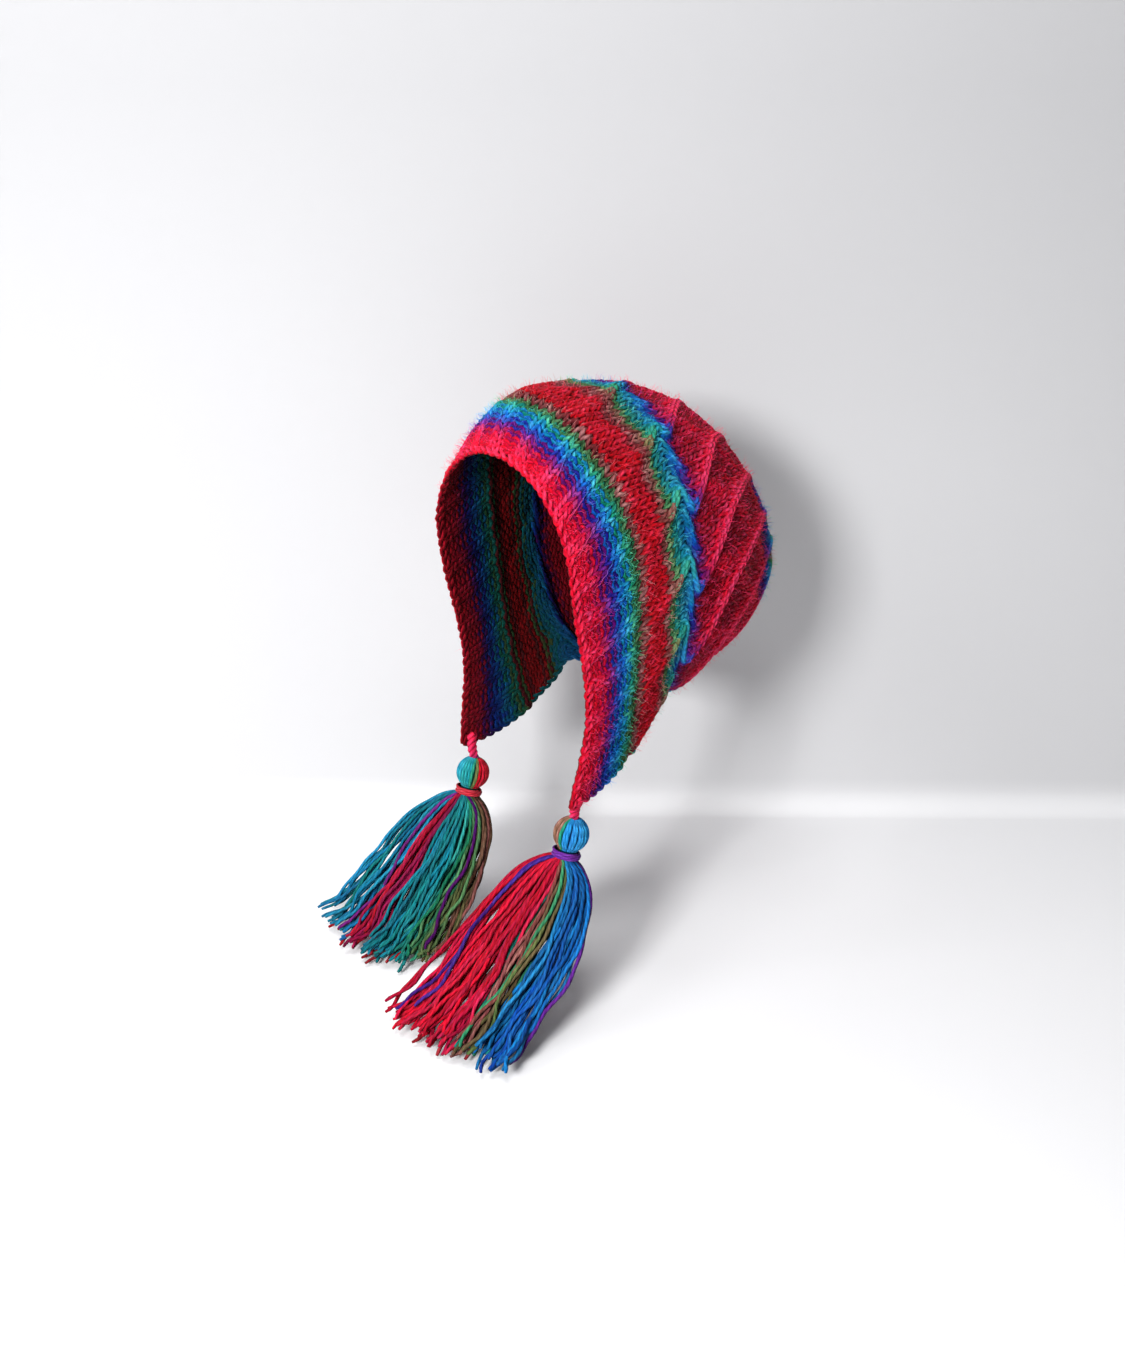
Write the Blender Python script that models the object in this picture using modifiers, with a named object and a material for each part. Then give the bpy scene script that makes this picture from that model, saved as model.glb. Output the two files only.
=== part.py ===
"""Knitted ear-flap beanie with two tassels, in metres, +Z up.

The wearer faces -Y and +X is the wearer's left. The origin is where the top of
the head bears on the inside of the crown. Knitted rows run parallel to the face
opening, and are numbered from the face edge back to the gather behind the head.
"""

import math

import bmesh
import bpy
import numpy as np
from mathutils import Vector

# Knitted body
KNIT_THICKNESS = 0.0045
HAT_HALF_WIDTH = 0.088
HAT_DEPTH = 0.258
HAT_DROP = 0.268
FACE_SETBACK = 0.070
BAND_LAST_ROW = 9.0
GATHER_ROW = 59.6
PIECE_GAP = 0.0003
ROW_PITCH = 0.0044
SEAM_GAP = 0.0005
EDGE_ROWS = 0.08

# Ribs of the face band and the crossing ribs of the body
RIB_HEIGHT = 0.0016
LATTICE_HEIGHT = 0.0034
LATTICE_REPEATS = 6
RIBS_PER_REPEAT = 2
LATTICE_NODE_ROW = 16.0
LATTICE_HALF_ROWS = 6.3
LEAN_PER_ROW = 0.037
LEAN_LAST_ROW = 28.6
COLUMNS_PER_REPEAT = 6
COLUMNS_PER_RIB = 3
RIB_LAST_REPEAT = 5.6

# Ties
TIE_RADIUS = 0.0042
TIE_SEAT_GAP = 0.0004
TIE_LENGTH = 0.0125
TIE_BEND = 0.0045

# Tassels
BALL_RADIUS = 0.0120
BALL_HALF_HEIGHT = 0.0112
NECK_RADIUS = 0.0074
BINDING_RADIUS = 0.0101
BINDING_HEIGHT = 0.0062
TASSEL_TILT = math.radians(17.0)
FLOOR_DROP = 0.404
HEM_LIFT = 0.0085
HEM_HALF_THICKNESS = 0.0075
HEM_REACH = 0.100
SKIRT_REACH = 0.0145
SKIRT_FLARE = 0.051
SKIRT_LANDING = 0.005
SKIRT_LANDING_SHARE = 0.28
LOCK_COUNT = 12
LOCK_DEPTH = 0.30
LOCK_STAGGER = 0.07

# One line for each row of knitting that shapes the body. Backs are shares of HAT_DEPTH behind the
# face edge's top, drops are shares of HAT_DROP below the crown's top, and half_width and end_out are
# shares of HAT_HALF_WIDTH. closed is 0 where a row ends on a flap, and 1 where it is a whole ring.
# roundness is 1 where the ring's lower half is an ellipse, and less where it is squarer.
ROW_COLUMNS = (
    "row", "top_back", "top_drop", "half_width", "side_back", "side_drop",
    "jaw_back", "end_out", "end_back", "end_drop", "closed", "roundness",
)
ROW_TABLE = (
    (0.0, 0.000, 0.134, 0.886, 0.039, 0.405, 0.098, 0.773, 0.066, 0.995, 0.0, 0.6),
    (4.0, 0.020, 0.078, 0.914, 0.115, 0.413, 0.156, 0.745, 0.135, 0.985, 0.0, 0.6),
    (9.0, 0.070, 0.026, 0.943, 0.209, 0.424, 0.236, 0.693, 0.262, 0.935, 0.0, 0.6),
    (11.5, 0.120, 0.006, 0.962, 0.252, 0.424, 0.280, 0.675, 0.305, 0.900, 0.0, 0.6),
    (16.0, 0.302, 0.000, 0.989, 0.329, 0.424, 0.357, 0.636, 0.380, 0.838, 0.0, 0.6),
    (18.1, 0.345, 0.003, 0.994, 0.368, 0.416, 0.391, 0.591, 0.411, 0.789, 0.1, 0.6),
    (18.8, 0.358, 0.004, 0.995, 0.380, 0.414, 0.405, 0.477, 0.480, 0.808, 0.4, 0.6),
    (19.5, 0.372, 0.006, 0.997, 0.391, 0.412, 0.418, 0.273, 0.540, 0.817, 0.8, 0.7),
    (20.2, 0.388, 0.008, 1.000, 0.403, 0.412, 0.437, 0.000, 0.580, 0.822, 1.0, 0.7),
    (28.6, 0.543, 0.052, 0.950, 0.550, 0.416, 0.600, 0.000, 0.705, 0.783, 1.0, 0.9),
    (34.9, 0.655, 0.118, 0.830, 0.655, 0.431, 0.710, 0.000, 0.798, 0.750, 1.0, 1.0),
    (41.2, 0.757, 0.205, 0.665, 0.752, 0.453, 0.804, 0.000, 0.880, 0.704, 1.0, 1.0),
    (47.5, 0.847, 0.305, 0.480, 0.845, 0.479, 0.887, 0.000, 0.942, 0.652, 1.0, 1.0),
    (53.8, 0.924, 0.410, 0.270, 0.926, 0.509, 0.951, 0.000, 0.977, 0.602, 1.0, 1.0),
    (60.0, 0.985, 0.512, 0.075, 0.985, 0.528, 0.990, 0.000, 0.994, 0.548, 1.0, 1.0),
)
RING_ROW = 20.2
HEM_ROWS = (18.8, 19.5)

# Height of the crossing ribs along the body, as shares of LATTICE_HEIGHT
SWELL_COLUMNS = ("row", "height")
SWELL_TABLE = (
    (9.0, 0.00),
    (9.6, 0.00),
    (11.8, 0.60),
    (16.0, 0.75),
    (28.6, 1.00),
    (47.5, 0.90),
    (60.0, 0.15),
)

# Where each tassel's strands end, out to the wearer's left and back from the ball's centre, as shares
# of HEM_REACH
HEM_COLUMNS = ("out", "back")
LEFT_HEM = (
    (-0.46, -1.34),
    (0.16, -1.22),
    (0.64, -0.97),
)
RIGHT_HEM = (
    (-0.80, -1.04),
    (0.18, -1.07),
    (0.46, -0.59),
)

# Colours, in linear light
CRIMSON = (0.52, 0.004, 0.030)
ROYAL_BLUE = (0.010, 0.090, 0.420)
TURQUOISE = (0.004, 0.270, 0.330)
PURPLE = (0.110, 0.006, 0.140)


def monotone(knots, values, at):
    """Returns a smooth curve through the knots that never swings past their values."""
    knots = np.asarray(knots, dtype=float)
    values = np.asarray(values, dtype=float)
    steps = np.diff(knots)
    slopes = np.diff(values) / steps
    tangents = np.concatenate(([slopes[0]], np.zeros(len(knots) - 2), [slopes[-1]]))
    for i in range(1, len(knots) - 1):
        before, after = slopes[i - 1], slopes[i]
        if before * after > 0.0:
            near, far = 2.0 * steps[i] + steps[i - 1], steps[i] + 2.0 * steps[i - 1]
            tangents[i] = (near + far) / (near / before + far / after)
    at = np.clip(np.asarray(at, dtype=float), knots[0], knots[-1])
    i = np.clip(np.searchsorted(knots, at, side="right") - 1, 0, len(steps) - 1)
    t = (at - knots[i]) / steps[i]
    start = (1.0 + 2.0 * t) * (1.0 - t) ** 2 * values[i] + t * (1.0 - t) ** 2 * steps[i] * tangents[i]
    end = t**2 * (3.0 - 2.0 * t) * values[i + 1] + t**2 * (t - 1.0) * steps[i] * tangents[i + 1]
    return start + end


def table_column(table, columns, name):
    """Returns one named column of a table."""
    place = columns.index(name)
    return [line[place] for line in table]


def row_size(row, name):
    """Returns one share of the row table at any row."""
    rows = table_column(ROW_TABLE, ROW_COLUMNS, "row")
    return float(monotone(rows, table_column(ROW_TABLE, ROW_COLUMNS, name), row))


def row_curve(row):
    """Returns the points of half a row, from the top of the hat to its lower end, on the wearer's left."""
    crown_top = KNIT_THICKNESS
    width = row_size(row, "half_width") * HAT_HALF_WIDTH
    end_x = row_size(row, "end_out") * HAT_HALF_WIDTH
    top_z = crown_top - row_size(row, "top_drop") * HAT_DROP
    side_z = crown_top - row_size(row, "side_drop") * HAT_DROP
    end_z = crown_top - row_size(row, "end_drop") * HAT_DROP
    closed = row_size(row, "closed")
    roundness = row_size(row, "roundness")

    quarter = np.linspace(0.0, math.pi / 2.0, 25)
    over_x = width * np.sin(quarter)
    over_z = side_z + (top_z - side_z) * np.cos(quarter)
    t = np.linspace(0.0, 1.0, 33)[1:]
    hang_x = width - (width - end_x) * t**2
    hang_z = side_z - (side_z - end_z) * t
    ring_x = width * np.maximum(np.cos(t * math.pi / 2.0), 0.0) ** roundness
    ring_z = side_z - (side_z - end_z) * np.sin(t * math.pi / 2.0)
    x = np.concatenate((over_x, (1.0 - closed) * hang_x + closed * ring_x))
    z = np.concatenate((over_z, (1.0 - closed) * hang_z + closed * ring_z))

    along = np.concatenate(([0.0], np.cumsum(np.hypot(np.diff(x), np.diff(z)))))
    side = along[len(quarter) - 1]
    knots = (0.0, side, side + 0.6 * (along[-1] - side), along[-1])
    backs = [row_size(row, name) for name in ("top_back", "side_back", "jaw_back", "end_back")]
    y = monotone(knots, backs, along) * HAT_DEPTH - FACE_SETBACK
    return np.stack((x, y, z), axis=1)


def hat_point(row, share):
    """Returns the smooth outer surface at a row, share 0 at the top and 1 or -1 at the row's two ends."""
    curve = row_curve(row)
    along = np.concatenate(([0.0], np.cumsum(np.linalg.norm(np.diff(curve, axis=0), axis=1))))
    place = min(abs(share), 1.0) * along[-1]
    x, y, z = (np.interp(place, along, curve[:, axis]) for axis in range(3))
    return Vector((math.copysign(x, share) if share else 0.0, y, z))


def hat_normal(row, share):
    """Returns the outward normal of the smooth surface."""
    step_row, step_share = 0.25, 0.01
    low, high = max(share - step_share, -1.0), min(share + step_share, 1.0)
    across = hat_point(row, high) - hat_point(row, low)
    back = hat_point(row + step_row, share) - hat_point(row - step_row, share)
    return across.cross(back).normalized()


def lean(row):
    """Returns how far the crossings have moved up the sides of the hat, in lattice repeats."""
    return LEAN_PER_ROW * (min(max(row, LATTICE_NODE_ROW), LEAN_LAST_ROW) - LATTICE_NODE_ROW)


def share_of(row, repeat):
    """Returns the share of a half row at which a number of lattice repeats has passed."""
    shares = np.linspace(0.0, 1.0, 401)
    repeats = LATTICE_REPEATS * shares + lean(row) * np.sin(math.pi * shares)
    return math.copysign(float(np.interp(abs(repeat), repeats, shares)), repeat)


def lattice_relief(row, repeat):
    """Returns the height of the crossing ribs above the ground of the knitting."""
    shift = (row - LATTICE_NODE_ROW) / (2.0 * LATTICE_HALF_ROWS)
    nearest = 1.0
    for crossing in (repeat + shift, repeat - shift):
        nearest = min(nearest, abs((crossing % 1.0) - 0.5))
    swell = monotone(
        table_column(SWELL_TABLE, SWELL_COLUMNS, "row"),
        table_column(SWELL_TABLE, SWELL_COLUMNS, "height"),
        row,
    )
    return float(swell) * LATTICE_HEIGHT * max(0.0, 1.0 - nearest * COLUMNS_PER_REPEAT)


def rib_relief(repeat):
    """Returns the height of the band's ribs, which flatten out before the flap tips."""
    column = round(repeat * RIBS_PER_REPEAT * COLUMNS_PER_RIB) % COLUMNS_PER_RIB
    raised = column in (0, 1) and abs(repeat) < RIB_LAST_REPEAT
    return RIB_HEIGHT if raised else 0.0


def knit_sheet(name, rows, repeats, relief):
    """Builds an open knitted sheet: rows by columns, with its rings joined under the head."""
    bm = bmesh.new()
    grid = []
    heights = []
    for row in rows:
        ring = row >= RING_ROW
        line, line_heights = [], []
        for repeat in repeats:
            height = relief(row, repeat)
            share = share_of(row, repeat)
            if ring and repeat == repeats[-1]:
                line.append(line[0])
            else:
                line.append(bm.verts.new(hat_point(row, share) + height * hat_normal(row, share)))
            line_heights.append(height)
        grid.append(line)
        heights.append(line_heights)
    for i in range(len(rows) - 1):
        for j in range(len(repeats) - 1):
            corners = (grid[i][j], grid[i][j + 1], grid[i + 1][j + 1], grid[i + 1][j])
            rising = heights[i][j] + heights[i + 1][j + 1]
            falling = heights[i][j + 1] + heights[i + 1][j]
            if rising >= falling:
                bm.faces.new((corners[0], corners[1], corners[2]))
                bm.faces.new((corners[0], corners[2], corners[3]))
            else:
                bm.faces.new((corners[0], corners[1], corners[3]))
                bm.faces.new((corners[1], corners[2], corners[3]))
    if rows[-1] >= RING_ROW:
        gather = bm.faces.new(grid[-1][:-1])
        bmesh.ops.poke(bm, faces=[gather])
    mesh = bpy.data.meshes.new(name)
    bm.to_mesh(mesh)
    bm.free()
    sheet = bpy.data.objects.new(name, mesh)
    wall = sheet.modifiers.new("knit_wall", "SOLIDIFY")
    wall.thickness = KNIT_THICKNESS
    wall.offset = -1.0
    return sheet


def make_crown():
    """Builds the knitted body: both flaps, the nape edge and the slouched back."""
    gap_rows = SEAM_GAP / ROW_PITCH
    pitch = LATTICE_HALF_ROWS * 2.0 / COLUMNS_PER_REPEAT
    first = LATTICE_NODE_ROW - LATTICE_HALF_ROWS
    steps = int((GATHER_ROW - first) / pitch) + 1
    front = BAND_LAST_ROW + gap_rows
    rows = [front, front + EDGE_ROWS, *(first + i * pitch for i in range(steps)), *HEM_ROWS, GATHER_ROW]
    count = LATTICE_REPEATS * COLUMNS_PER_REPEAT
    repeats = [j / COLUMNS_PER_REPEAT for j in range(-count, count + 1)]
    return knit_sheet("crown", sorted(rows), repeats, lattice_relief)


def make_face_band():
    """Builds the ribbed band round the face opening."""
    rows = [*(BAND_LAST_ROW * i / 3.0 for i in range(4)), BAND_LAST_ROW - EDGE_ROWS]
    columns = RIBS_PER_REPEAT * COLUMNS_PER_RIB
    count = LATTICE_REPEATS * columns
    repeats = [j / columns for j in range(-count, count + 1)]
    return knit_sheet("face_band", sorted(rows), repeats, lambda row, repeat: rib_relief(repeat))


def mirrored(point, side):
    """Returns a point of the wearer's left side, moved to the side asked for."""
    return Vector((side * point.x, point.y, point.z))


class FlapEnd:
    """The lower tip of one flap, and the points that hang from it."""

    def __init__(self, side):
        front, back = hat_point(0.0, 1.0), hat_point(BAND_LAST_ROW / 3.0, 1.0)
        middle = front.lerp(back, 0.45)
        above = hat_point(BAND_LAST_ROW / 6.0, 1.0 - 1.0 / (LATTICE_REPEATS * COLUMNS_PER_REPEAT))
        rim = (back - front).normalized()
        down = middle - above
        down = (down - down.dot(rim) * rim).normalized()
        inward = -hat_normal(1.0, 0.99)
        start = middle + inward * KNIT_THICKNESS / 2.0 + down * TIE_SEAT_GAP
        forward = Vector((0.0, -TIE_BEND, 0.0))
        route = (start, start + 0.3 * TIE_LENGTH * down, start + 0.7 * TIE_LENGTH * down + forward)
        end = start + TIE_LENGTH * down + forward
        axis = Vector((0.0, -math.sin(TASSEL_TILT), -math.cos(TASSEL_TILT)))
        ball = end + down * (PIECE_GAP + BALL_HALF_HEIGHT)
        self.tie_points = [mirrored(p, side) for p in (*route, end)]
        self.axis = mirrored(axis, side)
        self.ball = mirrored(ball, side)


def make_tie(name, flap_end):
    """Builds the twisted end of a flap as a short round cord."""
    curve = bpy.data.curves.new(name, "CURVE")
    curve.dimensions = "3D"
    curve.bevel_depth = TIE_RADIUS
    curve.bevel_resolution = 2
    curve.use_fill_caps = True
    spline = curve.splines.new("POLY")
    spline.points.add(len(flap_end.tie_points) - 1)
    for point, place in zip(spline.points, flap_end.tie_points):
        point.co = (*place, 1.0)
    return bpy.data.objects.new(name, curve)


class Tassel:
    """A folded bundle of yarn: a ball, a bound neck and a skirt of locks that lands on the floor."""

    def __init__(self, flap_end, hem):
        self.ball = flap_end.ball
        self.axis = flap_end.axis
        self.hem = [HEM_REACH * Vector((out, back, 0.0)) for out, back in hem]
        across = self.hem[2] - self.hem[0]
        self.across = (across - across.dot(self.axis) * self.axis).normalized()
        self.facing = self.axis.cross(self.across).normalized()
        if self.facing.z < 0.0:
            self.facing = -self.facing
        self.binding = self.ball + self.axis * (BALL_HALF_HEIGHT + BINDING_HEIGHT / 2.0)
        self.neck = self.ball + self.axis * (BALL_HALF_HEIGHT + BINDING_HEIGHT)
        self.floor = -FLOOR_DROP

    def hem_point(self, across, height):
        """Returns where a strand ends, across from -1 to 1 and height from -1 to 1."""
        left, middle, right = self.hem
        place = (across**2 - across) / 2.0 * left
        place = place + (1.0 - across**2) * middle + (across**2 + across) / 2.0 * right
        lift = HEM_LIFT + height * HEM_HALF_THICKNESS
        return Vector((self.ball.x + place.x, self.ball.y + place.y, self.floor + lift))

    def strand_point(self, across, height, share):
        """Returns a point of the skirt, share 0 at the neck and 1 at the hem."""
        start = self.neck + (across * self.across + height * self.facing) * NECK_RADIUS
        end = self.hem_point(across, height)
        first = start + self.axis * SKIRT_REACH + across * SKIRT_FLARE * self.across
        first = first + height * NECK_RADIUS * self.facing
        home = Vector((start.x - end.x, start.y - end.y, 0.0)) * SKIRT_LANDING_SHARE
        second = end + home + Vector((0.0, 0.0, SKIRT_LANDING))
        rest = 1.0 - share
        return (
            rest**3 * start + 3.0 * rest**2 * share * first
            + 3.0 * rest * share**2 * second + share**3 * end
        )

    def ring(self, centre, radius, columns):
        """Returns a round ring across the tassel's axis."""
        angles = [2.0 * math.pi * c / columns for c in range(columns)]
        return [
            centre + radius * (math.cos(a) * self.across + math.sin(a) * self.facing) for a in angles
        ]

    def rings(self):
        """Returns the rings of the whole bundle, from the ball's top to the hem."""
        columns = 2 * LOCK_COUNT
        rings = []
        for step in range(1, 7):
            angle = math.pi * step / 8.0
            centre = self.ball - self.axis * BALL_HALF_HEIGHT * math.cos(angle)
            rings.append(self.ring(centre, BALL_RADIUS * math.sin(angle), columns))
        rings.append(self.ring(self.ball + self.axis * BALL_HALF_HEIGHT, NECK_RADIUS, columns))
        rings.append(self.ring(self.neck, NECK_RADIUS, columns))
        for step in range(1, 9):
            share = step / 8.0
            ring = []
            for column in range(columns):
                angle = 2.0 * math.pi * column / columns
                inset = LOCK_DEPTH * share if column % 2 else 0.0
                reach = share * (1.0 - LOCK_STAGGER * (column % 2))
                across = math.cos(angle) * (1.0 - inset / 4.0)
                ring.append(self.strand_point(across, math.sin(angle) * (1.0 - inset), reach))
            rings.append(ring)
        return rings


def make_tassel(name, tassel):
    """Builds ball, neck and skirt as one closed body."""
    bm = bmesh.new()
    rings = [[bm.verts.new(place) for place in ring] for ring in tassel.rings()]
    columns = len(rings[0])
    top = bm.verts.new(tassel.ball - tassel.axis * BALL_HALF_HEIGHT)
    for c in range(columns):
        bm.faces.new((top, rings[0][c], rings[0][(c + 1) % columns]))
    for upper, lower in zip(rings, rings[1:]):
        for c in range(columns):
            after = (c + 1) % columns
            bm.faces.new((upper[c], lower[c], lower[after], upper[after]))
    hem = rings[-1]
    for c in range(columns // 2):
        front, back = (c, c + 1), (columns - c, columns - c - 1)
        corners = [hem[front[0]], hem[front[1]], hem[back[1] % columns], hem[back[0] % columns]]
        bm.faces.new(list(dict.fromkeys(corners)))
    bmesh.ops.triangulate(bm, faces=bm.faces[:])
    bmesh.ops.recalc_face_normals(bm, faces=bm.faces[:])
    mesh = bpy.data.meshes.new(name)
    bm.to_mesh(mesh)
    bm.free()
    return bpy.data.objects.new(name, mesh)


def make_binding(name, tassel):
    """Builds the yarn wound round a tassel's neck as one thick ring."""
    inner = NECK_RADIUS + PIECE_GAP
    wall = (BINDING_RADIUS - inner) / 2.0
    bpy.ops.mesh.primitive_torus_add(
        major_segments=20,
        minor_segments=6,
        major_radius=inner + wall,
        minor_radius=wall,
    )
    binding = bpy.context.object
    binding.name = name
    binding.scale.z = (BINDING_HEIGHT - 2.0 * PIECE_GAP) / (2.0 * wall)
    binding.rotation_euler = (-tassel.axis).to_track_quat("Z", "Y").to_euler()
    binding.location = tassel.binding
    return binding


def paint(thing, name, colour):
    """Gives one object its own matte yarn material."""
    material = bpy.data.materials.new(name)
    material.use_nodes = True
    shader = material.node_tree.nodes["Principled BSDF"]
    shader.inputs["Base Color"].default_value = (*colour, 1.0)
    shader.inputs["Roughness"].default_value = 0.9
    shader.inputs["Metallic"].default_value = 0.0
    thing.data.materials.append(material)


def place(thing, collection):
    """Moves one object into the part's own collection."""
    for holder in list(thing.users_collection):
        holder.objects.unlink(thing)
    collection.objects.link(thing)


def main():
    """Clears the scene and builds the beanie."""
    for thing in list(bpy.data.objects):
        bpy.data.objects.remove(thing, do_unlink=True)
    collection = bpy.data.collections.new("ear_flap_beanie")
    bpy.context.scene.collection.children.link(collection)

    crown, face_band = make_crown(), make_face_band()
    paint(crown, "crown_knit", CRIMSON)
    paint(face_band, "band_knit", CRIMSON)
    pieces = [crown, face_band]
    sides = (
        ("left", 1.0, LEFT_HEM, ROYAL_BLUE, PURPLE),
        ("right", -1.0, RIGHT_HEM, TURQUOISE, CRIMSON),
    )
    for word, side, hem, yarn, wrap in sides:
        flap_end = FlapEnd(side)
        tassel = Tassel(flap_end, hem)
        tie = make_tie(f"{word}_tie", flap_end)
        bundle = make_tassel(f"{word}_tassel", tassel)
        binding = make_binding(f"{word}_tassel_binding", tassel)
        paint(tie, f"{word}_tie_yarn", CRIMSON)
        paint(bundle, f"{word}_tassel_yarn", yarn)
        paint(binding, f"{word}_binding_yarn", wrap)
        pieces += [tie, bundle, binding]
    for piece in pieces:
        place(piece, collection)


main()
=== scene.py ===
"""Looks of a hand-knitted ear-flap beanie in self-striping wool, with a yarn tassel on each flap.

Every row of knitting is one yarn that loops along the hat's surface, so the stitches, the ribs, the
scalloped stripes and the plain back of the fabric are all real geometry. Metres, +Z up, and the wearer
faces -Y. Rows are numbered from the face edge back to the gather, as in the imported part.
"""

import logging
import math
from dataclasses import dataclass, field
from enum import Enum

import bmesh
import bpy
import numpy as np
from mathutils import Matrix, Vector


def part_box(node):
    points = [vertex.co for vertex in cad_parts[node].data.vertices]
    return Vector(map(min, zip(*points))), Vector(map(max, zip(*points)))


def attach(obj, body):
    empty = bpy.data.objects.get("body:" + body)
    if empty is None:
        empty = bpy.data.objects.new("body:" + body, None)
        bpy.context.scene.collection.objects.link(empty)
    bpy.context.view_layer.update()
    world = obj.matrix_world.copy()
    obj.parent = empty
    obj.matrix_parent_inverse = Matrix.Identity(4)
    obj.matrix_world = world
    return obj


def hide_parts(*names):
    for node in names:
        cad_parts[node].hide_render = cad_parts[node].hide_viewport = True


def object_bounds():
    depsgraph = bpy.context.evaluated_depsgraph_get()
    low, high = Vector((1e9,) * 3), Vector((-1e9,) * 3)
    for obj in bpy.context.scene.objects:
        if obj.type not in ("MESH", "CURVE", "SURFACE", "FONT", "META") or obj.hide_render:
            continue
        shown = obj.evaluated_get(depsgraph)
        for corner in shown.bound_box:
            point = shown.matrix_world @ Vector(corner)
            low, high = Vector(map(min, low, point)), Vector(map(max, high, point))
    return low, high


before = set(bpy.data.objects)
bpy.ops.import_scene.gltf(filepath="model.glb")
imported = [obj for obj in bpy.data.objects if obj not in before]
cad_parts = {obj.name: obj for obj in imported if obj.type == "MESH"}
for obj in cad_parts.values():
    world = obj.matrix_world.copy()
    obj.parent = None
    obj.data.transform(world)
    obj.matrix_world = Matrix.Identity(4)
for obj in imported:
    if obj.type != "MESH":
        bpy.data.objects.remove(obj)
CAD_LOW, CAD_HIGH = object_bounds()
LOG = logging.getLogger("beanie")

# Yarn shading: the slow drift of its colour, its painted highlights, its painted shade down in the
# hollows and its fine streaks
PATCH_SCALE = 95.0
PATCH_DRIFT = 0.05
STREAK_LIGHT = 0.6
PLAIN_LIGHT = 0.62
MOST_LIT = 0.95
PAINTED_SHADE_POWER = 1.35
STREAK_CONTRAST = 4.2
STREAK_OFFSET = -2.0
STREAKS_ACROSS = 2.2
STREAKS_ALONG = 260.0

# What a shader helper takes for one input: another node's socket or a plain number
Value = bpy.types.NodeSocket | float

# Photograph, in pixels
IMAGE_HEIGHT = 1370
FOCAL_PIXELS = 1180.0
AXIS_OFFSET_PIXELS = 12.5

# Camera and stage
CAMERA_AZIMUTH = math.radians(52.0)
CAMERA_REACH = 0.787
CAMERA_HEIGHT = 0.103
CAMERA_PITCH = math.radians(21.5)
SENSOR_HEIGHT = 24.0
FLOOR_Z = -0.404
BACKDROP_REACH = 0.190
STAGE_SIZE = 6.0
COVE_RADIUS = 0.020
COVE_STEPS = 12
LAMP_AIM = (0.0, 0.02, -0.18)
SURROUND_LIGHT = 0.14
SURROUND_COLOUR = (0.93, 0.94, 1.0, 1.0)
PAPER_STOPS = (
    (0.0, (0.71, 0.71, 0.72, 1.0)),
    (0.03, (0.56, 0.56, 0.57, 1.0)),
    (0.6, (0.42, 0.42, 0.43, 1.0)),
)

# Knitted body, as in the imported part
HAT_HALF_WIDTH = 0.088
HAT_DEPTH = 0.258
HAT_DROP = 0.268
FACE_SETBACK = 0.070
CROWN_TOP = 0.0045
BAND_LAST_ROW = 9.0
LAST_ROW = 60.0
RING_ROW = 20.2
REPEATS = 6
LATTICE_NODE_ROW = 16.0
LATTICE_ROWS = 12.6
LEAN_PER_ROW = 0.037
LEAN_LAST_ROW = 28.6
ROW_COLUMNS = (
    "row", "top_back", "top_drop", "half_width", "side_back", "side_drop",
    "jaw_back", "end_out", "end_back", "end_drop", "closed", "roundness",
)
ROW_TABLE = (
    (0.0, 0.000, 0.134, 0.886, 0.039, 0.405, 0.098, 0.773, 0.066, 0.995, 0.0, 0.6),
    (4.0, 0.020, 0.078, 0.914, 0.115, 0.413, 0.156, 0.745, 0.135, 0.985, 0.0, 0.6),
    (9.0, 0.070, 0.026, 0.943, 0.209, 0.424, 0.236, 0.693, 0.262, 0.935, 0.0, 0.6),
    (11.5, 0.120, 0.006, 0.962, 0.252, 0.424, 0.280, 0.675, 0.305, 0.900, 0.0, 0.6),
    (16.0, 0.302, 0.000, 0.989, 0.329, 0.424, 0.357, 0.636, 0.380, 0.838, 0.0, 0.6),
    (18.1, 0.345, 0.003, 0.994, 0.368, 0.416, 0.391, 0.591, 0.411, 0.789, 0.1, 0.6),
    (18.8, 0.358, 0.004, 0.995, 0.380, 0.414, 0.405, 0.477, 0.480, 0.808, 0.4, 0.6),
    (19.5, 0.372, 0.006, 0.997, 0.391, 0.412, 0.418, 0.273, 0.540, 0.817, 0.8, 0.7),
    (20.2, 0.388, 0.008, 1.000, 0.403, 0.412, 0.437, 0.000, 0.580, 0.822, 1.0, 0.7),
    (28.6, 0.543, 0.052, 0.950, 0.550, 0.416, 0.600, 0.000, 0.705, 0.783, 1.0, 0.9),
    (34.9, 0.655, 0.118, 0.830, 0.655, 0.431, 0.710, 0.000, 0.798, 0.750, 1.0, 1.0),
    (41.2, 0.757, 0.205, 0.665, 0.752, 0.453, 0.804, 0.000, 0.880, 0.704, 1.0, 1.0),
    (47.5, 0.847, 0.305, 0.480, 0.845, 0.479, 0.887, 0.000, 0.942, 0.652, 1.0, 1.0),
    (53.8, 0.924, 0.410, 0.270, 0.926, 0.509, 0.951, 0.000, 0.977, 0.602, 1.0, 1.0),
    (60.0, 0.985, 0.512, 0.075, 0.985, 0.528, 0.990, 0.000, 0.994, 0.548, 1.0, 1.0),
)

# Height of the crossing ribs along the body, as shares of LATTICE_HEIGHT
LATTICE_HEIGHT = 0.0034
SWELL_ROWS = (9.0, 9.6, 11.8, 16.0, 28.6, 47.5, 60.0)
SWELL_SHARES = (0.0, 0.0, 0.60, 0.75, 1.00, 0.90, 0.15)

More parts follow.
